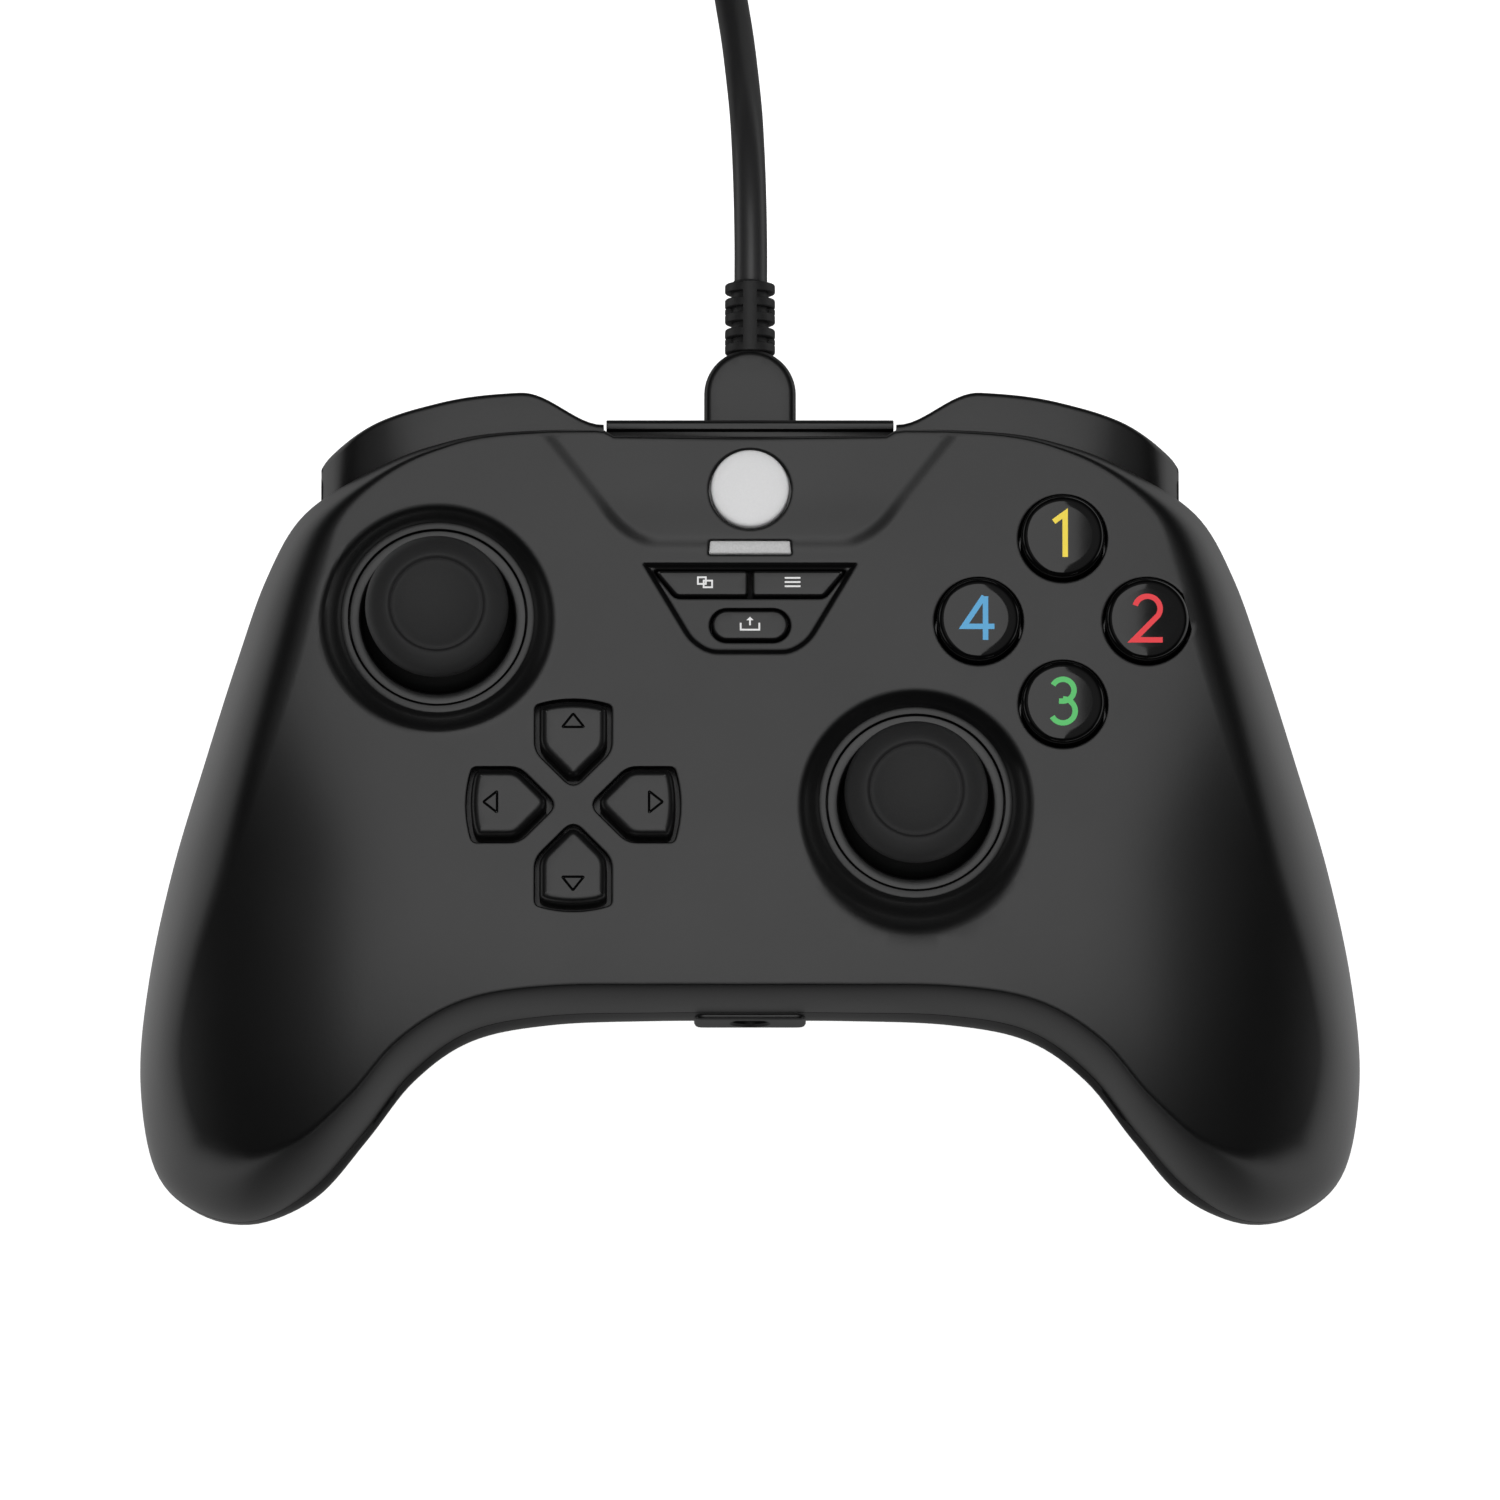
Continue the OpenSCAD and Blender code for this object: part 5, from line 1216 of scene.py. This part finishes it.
class GAMEPAD_OT_shoulders(Operator):
    """Bumpers, the bridge between them and the triggers"""

    bl_idname = "gamepad.shoulders"
    bl_label = "Shoulders"

    # Bumpers: inner and outer end, rounding and fall at the outer end, depth, wall; places along the edge
    START_X, END_X, END_ROUND, FALL, REACH, THICK = 18.28, 53.75, 1.3, 9.0, 5.65, 1.9
    FIRST, LAST = 10.612, 14.0
    # Bridge: points behind this line move back a little, in metres
    BRIDGE_REAR, BRIDGE_SHIFT = 0.0452, 0.00045

    def execute(self, context):
        for side, m in (("left", -1), ("right", 1)):
            bumper, trigger = side + "_bumper", side + "_trigger"
            place(bumper + "_skin", self.bumper(m), "shell", bumper, (bumper,), 45)
            dressed(trigger + "_skin", trigger, "shell", trigger, 0.8, 4)
        data = from_node("bridge")
        for v in data.vertices:
            v.co.y += self.BRIDGE_SHIFT if v.co.y > self.BRIDGE_REAR else 0
        soften(place("bridge_skin", data, "shell", "housing", ("bridge",)), 0.12, 2)
        return {"FINISHED"}

    def bumper(self, m):
        """A bent section carried along the rear edge, ending square at the shoulder with rounded corners."""
        stop, before, steps = self.END_X - self.END_ROUND, 0.5, 80
        count = len(self.section(np.array([self.FIRST])))
        end_at = lambda x: np.array([self.place_of(x, k) for k in range(count)])
        end = end_at(stop)
        rows = [self.points(self.FIRST + (end - self.FIRST) * u) for u in np.linspace(0, 1, steps)]
        slope = (rows[-1] - self.points(end_at(stop - before))) / before
        for turn in np.radians((20, 38, 55, 72, 90)):
            row = rows[steps - 1] + slope * self.END_ROUND * math.sin(turn)
            row[:, 1:] = grown(row[:, 1:], -0.8 * (1 - math.cos(turn)))
            rows.append(row)
        s = Shape()
        s.loft([row * (m, 1, 1) for row in rows])
        low, high = FACE_Z - 11.6, FACE_Z - 5.4
        lug = [(1.15, low), (2.3, low), (2.3, high), (1.15, high), (1.15, low)]
        s.lathe(lug, (m * 20.6, 40.4), 48)
        return s.mesh("bumper")

    def section(self, q):
        """Rounded section at places along the edge: distance out from the edge, and height."""
        e = edge_at(q)
        out = []
        for x, drop in zip(e[:, 0], e[:, DROP]):
            w = 1.4 + (self.REACH - 1.4) * float(smooth(self.START_X + 0.2, self.START_X + 10.2, x))
            w -= 1.1 * float(smooth(self.END_X - 9.8, self.END_X + 0.2, x))
            top, low, back = FACE_Z - drop - 0.4, FACE_Z - 15.2, w - self.THICK
            under = top - self.THICK
            line = [(-1.9, top), (w, top), (w, low), (back, low), (back, under), (-1.9, under)]
            out.append(rounded(line, [0.1, 0.7, 0.5, 0.4, 0.5, 0.1], 7))
        return np.array(out).transpose(1, 0, 2)

    def points(self, q):
        """Points of the section, each at its own place along the edge."""
        own = self.section(q)[np.arange(len(q)), np.arange(len(q))]
        flat = edge_at(q)[:, :2] - inward(q) * own[:, :1]
        top, low = FACE_Z - edge_at(q)[:, DROP] - 0.4, FACE_Z - 15.2
        past = np.clip(flat[:, 0] - self.END_X + self.FALL, 0, self.FALL)
        limit = np.maximum(low + 0.5 + np.sqrt(self.FALL**2 - past**2), low + 1)
        share = ((limit + top - np.sqrt((limit - top) ** 2 + 0.5)) / 2 - low) / (top - low)
        return np.column_stack([flat, low + (own[:, 1] - low) * share])

    def place_of(self, x, k):
        """Place along the edge where a point of the section reaches x."""
        low, high = self.FIRST, self.LAST
        for _ in range(28):
            mid = (low + high) / 2
            at = edge_at([mid])[0, 0] - inward([mid])[0, 0] * self.section([mid])[k, 0, 0]
            low, high = (mid, high) if at < x else (low, mid)
        return mid


class GAMEPAD_OT_sticks(Operator):
    """Stick caps with their skirts, and the trim rings round them"""

    bl_idname = "gamepad.sticks"
    bl_label = "Sticks"

    def execute(self, context):
        n = sizes().segments
        for side, at in STICKS.items():
            s = Shape()
            s.lathe(self.cap_profile(), at, n)
            stick = side + "_stick"
            place(stick + "_rubber", s.mesh("cap"), "stick", stick, (stick + "_cap",), 50)
            r = Shape()
            r.lathe(self.ring_profile(), at, n)
            place(side + "_trim_ring", r.mesh("ring"), "ring", "housing", (stick + "_ring",), 40)
        return {"FINISHED"}

    def cap_profile(self):
        dome, thick = 12.4, 0.8
        above = lambda rows: [(r, GIMBAL_Z + z) for r, z in rows]
        arc = lambda r, *turns: [(r * math.sin(a), r * math.cos(a)) for a in np.radians(np.linspace(*turns))]
        neck = (
            (3.95, 12.3), (3.8, 13.4), (3.8, 15.2), (4.6, 16.2), (6.6, 17.1), (8.2, 17.9), (8.72, 18.45),
            (8.9, 19.1), (8.66, 19.9), (8.05, 20.6), (7.1, 21.12), (6.4, 21.34), (6.05, 21.32),
        )
        groove = ((5.9, 21.16), (5.74, 21.02), (5.6, 21.06), (5.45, 21.1))
        dish = ((5.3, 21.09), (4, 20.8), (2, 20.52), (0, 20.42))
        return [
            *above(arc(dome - thick, 0, 66, 18) + arc(dome, 66, 18.2, 16)),
            *map(tuple, curve_through(above(neck), 4)), *above(groove),
            *map(tuple, curve_through(above(dish), 5)[:-1]), *above(dish[-1:]),
        ]

    def ring_profile(self):
        low, lip = UNDER_Z, LIP_Z
        return [
            (9.6, FACE_Z - 1.6), (9.6, lip - 0.45), (9.63, lip - 0.33), (9.72, lip - 0.23), (9.85, lip - 0.2),
            (10.86, lip - 0.2), (10.94, lip - 0.22), (10.99, lip - 0.28), (11, lip - 0.4), (11, low - 0.05),
            (12.7, low - 0.05), (12.7, low - 0.9), (10.9, low - 0.9), (10.6, FACE_Z - 2), (9.6, FACE_Z - 1.6),
        ]


class GAMEPAD_OT_direction_pad(Operator):
    """Rocking direction pad with its engraved arrows"""

    bl_idname = "gamepad.direction_pad"
    bl_label = "Direction pad"

    def execute(self, context):
        s = Shape()
        top = FACE_Z + 2.0
        for k in range(4):
            turn = k * math.pi / 2
            rings = [(spaced(pad_outline(0.55, turn), 0.5), FACE_Z - 4.8)]
            for by, z in ((0, -0.95), (0.05, -0.7), (0.2, -0.4), (0.45, -0.16), (0.8, -0.03), (1.0, 0)):
                rings.append((grown(spaced(pad_outline(0.55, turn), 0.5), -by), top + z))
            edge = s.solid(rings)
            c, sn = math.cos(turn), math.sin(turn)
            arrow = np.array([(11.15, 0), (9.45, 1.35), (9.45, -1.35)]) @ np.array([[c, sn], [-sn, c]])
            arrow = rounded(arrow + np.array(DPAD), 0.12, 3)
            lines = [spaced(grown(arrow, by), 0.3) for by in (0.3, 0.16, 0, -0.16, -0.3)]
            outline = rings[-1][0]
            groove = lambda p: top - 0.3 * np.clip(1 - np.abs(signed(p, arrow)) / 0.16, 0, 1)
            s.cover(edge, outline, groove, lines, 0.9)
            leg = (DPAD[0] + 9 * c, DPAD[1] + 9 * sn)
            low, high = STEM_Z, FACE_Z - 5
            s.lathe([(0, low), (1.8, low), (2, low + 0.2), (2, high), (0, high)], leg, 32)
        rocker = [
            (0, 41), (1.4, 40.6), (2.05, 39.05), (3.4, 39), (13.8, 39),
            (13.8, 40.4), (3.4, 40.4), (3.4, 41.4), (0, 41.4),
        ]
        s.lathe(rocker, DPAD, 72)
        place("direction_pad", s.mesh("direction_pad"), "pad", "dpad", ("dpad",), 40)
        return {"FINISHED"}


class GAMEPAD_OT_face_buttons(Operator):
    """Four polished buttons with their numerals"""

    bl_idname = "gamepad.face_buttons"
    bl_label = "Face buttons"

    STANDS = 1.9

    def execute(self, context):
        n = sizes().segments
        top, low = FACE_Z + self.STANDS, FACE_Z - 5.8
        caps = []
        for text, (name, at) in zip("1234", BUTTONS.items()):
            s = Shape()
            foot = [(0, STEM_Z), (2.6, STEM_Z), (2.6, low - 1.5)]
            flange = [(6.2, low - 1.5), (6.2, low - 0.3), (5.2, low - 0.3)]
            edge = [
                (5.2, top - 0.8), (5.17, top - 0.52), (5.08, top - 0.29), (4.95, top - 0.12),
                (4.79, top + 0.01), (4.62, top + 0.09), (4.45, top + 0.13),
            ]
            s.lathe(foot + flange + edge + [(r, self.dome(r)) for r in (4.25, 3.6, 2.7, 1.8, 0.9, 0)], at, n)
            caps.append(place(name + "_cap", s.mesh(name), "gloss", name, (name,), 50))
            self.numeral(name, text, at)
        self.turn_from_side(caps)
        return {"FINISHED"}

    def turn_from_side(self, caps):
        """Keeps the side softbox out of the polished tops, where the main one ends with a clear edge."""
        group = bpy.data.collections.new("Out of the side softbox")
        for cap in caps:
            group.objects.link(cap)
        bpy.data.objects["Side softbox"].light_linking.receiver_collection = group
        for item in group.collection_objects:
            item.light_linking.link_state = "EXCLUDE"

    def dome(self, r):
        """Height of a button's top at a distance from its middle."""
        return FACE_Z + self.STANDS + 0.2 - r * r / 600

    def numeral(self, name, text, at):
        """A printed numeral: thin slabs along its strokes."""
        s = Shape()
        tall = sizes().numeral_size / MM
        wide = sizes().stroke / MM
        for i, line in enumerate(self.strokes(text)):
            outline = widened(np.array(line) * (tall - wide) / 2, wide) + np.array(at)
            flat, faces, chains = filled(outline, [], [], 1.0)
            low = s.add(level(flat, self.dome(3.6) - 0.05))
            top = s.add(level(flat, self.dome(0) + 0.015 + 0.002 * i))
            s.faces += [tuple(top[k] for k in f) for f in faces]
            s.faces += [tuple(low[k] for k in reversed(f)) for f in faces]
            s.strip([low[k] for k in chains[0]], [top[k] for k in chains[0]])
        data = s.mesh(name + "_numeral", 1e-6)
        place(name + "_numeral", data, "numeral_" + name.split("_")[1], name)

    def strokes(self, text):
        """Middle lines of a numeral's strokes, with its height from -1 to 1."""

        def arc(x, y, r, a, b):
            return [(x + r * math.cos(t), y + r * math.sin(t)) for t in np.radians(np.linspace(a, b, 22))]

        return {
            "1": [[(-0.42, 0.62), (0.1, 1), (0.1, -1)]],
            "2": [arc(0, 0.43, 0.57, 165, -32) + [(-0.62, -1), (0.68, -1)]],
            "3": [arc(-0.02, 0.5, 0.5, 152, -90) + [(-0.2, 0)], arc(-0.02, -0.45, 0.55, 90, -152)],
            "4": [[(0.3, -1), (0.3, 1)], [(0.24, 1), (-0.68, -0.38), (0.7, -0.38)]],
        }[text]


class GAMEPAD_OT_centre_buttons(Operator):
    """Home button, light bar, and the view, menu and share buttons with their pictograms"""

    bl_idname = "gamepad.centre_buttons"
    bl_label = "Centre buttons"

    def execute(self, context):
        self.home()
        self.light()
        self.pair()
        self.share()
        return {"FINISHED"}

    def home(self):
        s = Shape()
        top = FACE_Z + 0.6
        low = UNDER_Z
        profile = [
            (0, low - 1.5), (5.35, low - 1.5), (5.35, low - 0.5), (4.85, low - 0.5), (4.85, top + 0.1),
            (4.8, top + 0.32), (4.65, top + 0.5), (4.4, top + 0.63), (3.6, top + 0.74), (2.4, top + 0.83),
            (1.2, top + 0.88), (0, top + 0.9),
        ]
        s.lathe(profile, HOME, sizes().segments)
        stem(s, (0, 32.9))
        place("home_disc", s.mesh("home_disc"), "pale", "home_button", ("home_button",), 50)

    def light(self):
        s = Shape()
        line = spaced(trapezoid(LIGHT_Y, 0.8, 4.97, 5.13, 0.22), 0.5)
        top = FACE_Z + 0.5
        self.slab(s, line, UNDER_Z - 0.8, top, ((0, -0.2), (0.05, -0.08), (0.18, 0)), 0.02, 0.8)
        place("light_strip", s.mesh("light_strip"), "lamp", "housing", ("light_bar",), 50)

    def slab(self, s, line, low, top, edge, rise, step):
        """Stands an outline up from low to top, draws it in along its edge and covers it."""
        rings = [(line, low)] + [(grown(line, -by) if by else line, top + z) for by, z in edge]
        s.cover(s.solid(rings), rings[-1][0], lambda p: np.full(len(p), top + rise), step=step)

    def button(self, s, line, top):
        edge = ((0, -0.28), (0.05, -0.13), (0.16, -0.03), (0.3, 0))
        self.slab(s, spaced(line, 0.5), UNDER_Z - 1.4, top, edge, 0.01, 1.0)

    def pair(self):
        top = FACE_Z - 0.2
        for name, m in (("view_button", -1), ("menu_button", 1)):
            line = [(0.3 * m, 1.55), (11.8 * m, 1.55), (9.2 * m, -1.55), (0.3 * m, -1.55)]
            line = [(x, MENU_Y + y) for x, y in line[::-m]]
            s = Shape()
            self.button(s, rounded(line, 0.5), top)
            stem(s, (5.6 * m, MENU_Y))
            place(name + "_cap", s.mesh(name), "pad", name, (name,), 45)
        z = top + 0.01
        view = self.frame_lines(-6.0, 25.36, 1.21, 1.06) + self.frame_lines(-5.25, 24.94, 1.27, 1.06)
        menu = [(5.31, 25.18 + k * 0.53, 1.97, LINE) for k in (-1, 0, 1)]
        self.picture("view_button", "view_pictogram", view, z)
        self.picture("menu_button", "menu_pictogram", menu, z)

    def share(self):
        top = FACE_Z - 0.3
        s = Shape()
        self.button(s, capsule(SHARE, 9.4, 3.65), top)
        stem(s, SHARE)
        place("share_button_cap", s.mesh("share"), "pad", "share_button", ("share_button",), 45)
        sides = [(x, 19.6, LINE, 0.9) for x in (-1.16, 1.16)]
        bars = [(0, 19.16, 2.54, LINE), *sides, (0, 20.12, LINE, 0.8)]
        head = [(-0.45, 20.36), (0.45, 20.36), (0, 20.8)]
        self.picture("share_button", "share_pictogram", bars, top + 0.01, head)

    def frame_lines(self, x, y, w, h):
        """Four bars round a box of width w and height h."""
        a, b = (w - LINE) / 2, (h - LINE) / 2
        return [(x, y + b, w, LINE), (x, y - b, w, LINE), (x - a, y, LINE, h), (x + a, y, LINE, h)]

    def picture(self, body, name, bars, z, head=None):
        s = Shape()
        corners = ((-0.5, -0.5), (0.5, -0.5), (0.5, 0.5), (-0.5, 0.5))
        lines = [[(x + a * w, y + b * h) for a, b in corners] for x, y, w, h in bars]
        if head:
            lines.append(head)
        for i, line in enumerate(lines):
            line = rounded(line, 0.05, 2)
            s.loft([level(line, z + dz) for dz in (-0.03, 0.03 + 0.001 * i)])
        place(name, s.mesh(name, 1e-6), "ink", body)


class GAMEPAD_OT_screws(Operator):
    """Housing screws in their wells"""

    bl_idname = "gamepad.screws"
    bl_label = "Screws"

    def execute(self, context):
        head = Shape()
        points = zip(circle((0, 0), 1.05, 12)[::2], circle((0, 0), 0.8, 12)[1::2])
        star = spaced(rounded([p for pair in points for p in pair], 0.3, 3), 0.2)
        rim = circle((0, 0), 2.0, len(star))
        shift = int(np.argmin(np.linalg.norm(star - rim[0], axis=1)))
        star = np.roll(star, -shift, 0)
        head.loft([level(line * wide, z) for line, wide, z in (
            (star, 1, 1.2), (star, 1, 0.12), (star, 1.06, 0.02), (rim, 0.85, 0.0),
            (rim, 1, 0.1), (rim, 1.13, 0.36), (rim, 1.2, 0.8), (rim, 1.2, 1.7),
        )])
        head.lathe([(0, 1.5), (1.05, 1.5), (1.05, 8), (0, 8.6)], segments=24)
        source = bpy.data.objects.new("screw_source", head.mesh("screw_source"))
        bpy.context.scene.collection.objects.link(source)
        seats = bpy.data.meshes.new("seats")
        spots = [(m * x, y, z - 1.7) for x, y, z in GAMEPAD_OT_rear_housing.WELLS for m in (-1, 1)]
        seats.from_pydata([(x * MM, y * MM, z * MM) for x, y, z in spots], [], [])
        parts = {
            "info": ("GeometryNodeObjectInfo", {}, {"Object": source}),
            "chance": ("FunctionNodeRandomValue", {"data_type": "FLOAT"}, {"Seed": 4}),
            "turn": ("ShaderNodeCombineXYZ", {}, {}),
        }
        links = (
            ("given", "Twist", "chance", 3), ("chance", 1, "turn", "Z"), ("turn", 0, "copies", "Rotation"),
            ("given", "Geometry", "copies", "Points"), ("info", "Geometry", "copies", "Instance"),
        )
        holder = bpy.data.objects.new("screws", seats)
        data = from_tree(holder, "Screws", {"Twist": ("NodeSocketFloat", 6.0)}, parts, links, "steel")
        bpy.data.objects.remove(source)
        place("housing_screw_heads", data, "steel", "housing", ("housing_screws",), 40)
        return {"FINISHED"}


class GAMEPAD_OT_inner_parts(Operator):
    """Finishes of the CAD pieces that stay as they are"""

    bl_idname = "gamepad.inner_parts"
    bl_label = "Inner parts"

    KEPT = {
        "board": ("main_board",),
        "socket": ("mid_frame", "dpad_post", "left_stick_base", "right_stick_base"),
        "silicone": ("face_button_mat", "dpad_mat", "menu_mat"),
        "gloss": ("headset_jack", "bumper_switches"),
        "white": ("left_bail", "left_shaft", "right_bail", "right_shaft", "left_hub", "right_hub"),
        "steel": (
            "left_stick_sensors", "right_stick_sensors", "cable_socket", "board_screws",
            "left_motor", "right_motor", "trigger_pins", "bumper_pins", "dpad_ball",
            "left_trigger_spring", "right_trigger_spring",
            "left_motor_weight", "right_motor_weight", "plug_tongue",
        ),
    }

    def execute(self, context):
        for finish, nodes in self.KEPT.items():
            for n in nodes:
                NODES[n].data.materials.clear()
                NODES[n].data.materials.append(FINISHES[finish])
        return {"FINISHED"}


class GAMEPAD_PT_panel(Panel):
    """Sizes, colours and pieces of the gamepad"""

    bl_label = "Gamepad"
    bl_idname = "GAMEPAD_PT_panel"
    bl_space_type = "VIEW_3D"
    bl_region_type = "UI"
    bl_category = "Gamepad"

    def draw(self, context):
        for group in (context.scene.gamepad_sizes, context.scene.gamepad_colours):
            for key in group.bl_rna.properties.keys():
                if key not in ("rna_type", "name"):
                    self.layout.prop(group, key)
        for op in OPERATORS:
            self.layout.operator(op.bl_idname)


OPERATORS = (
    GAMEPAD_OT_stage, GAMEPAD_OT_cord, GAMEPAD_OT_cable_end, GAMEPAD_OT_front_housing,
    GAMEPAD_OT_rear_housing, GAMEPAD_OT_shoulders, GAMEPAD_OT_sticks, GAMEPAD_OT_direction_pad,
    GAMEPAD_OT_face_buttons, GAMEPAD_OT_centre_buttons, GAMEPAD_OT_screws, GAMEPAD_OT_inner_parts,
)
CLASSES = (GamepadColours, GamepadSizes, *OPERATORS, GAMEPAD_PT_panel)


def register():
    for c in CLASSES:
        bpy.utils.register_class(c)
    bpy.types.Scene.gamepad_colours = PointerProperty(type=GamepadColours)
    bpy.types.Scene.gamepad_sizes = PointerProperty(type=GamepadSizes)


def unregister():
    del bpy.types.Scene.gamepad_sizes
    del bpy.types.Scene.gamepad_colours
    for c in reversed(CLASSES):
        bpy.utils.unregister_class(c)


def main():
    register()
    mix_finishes()
    for op in OPERATORS:
        getattr(bpy.ops.gamepad, op.bl_idname.split(".")[1])()


if __name__ == "__main__":
    main()
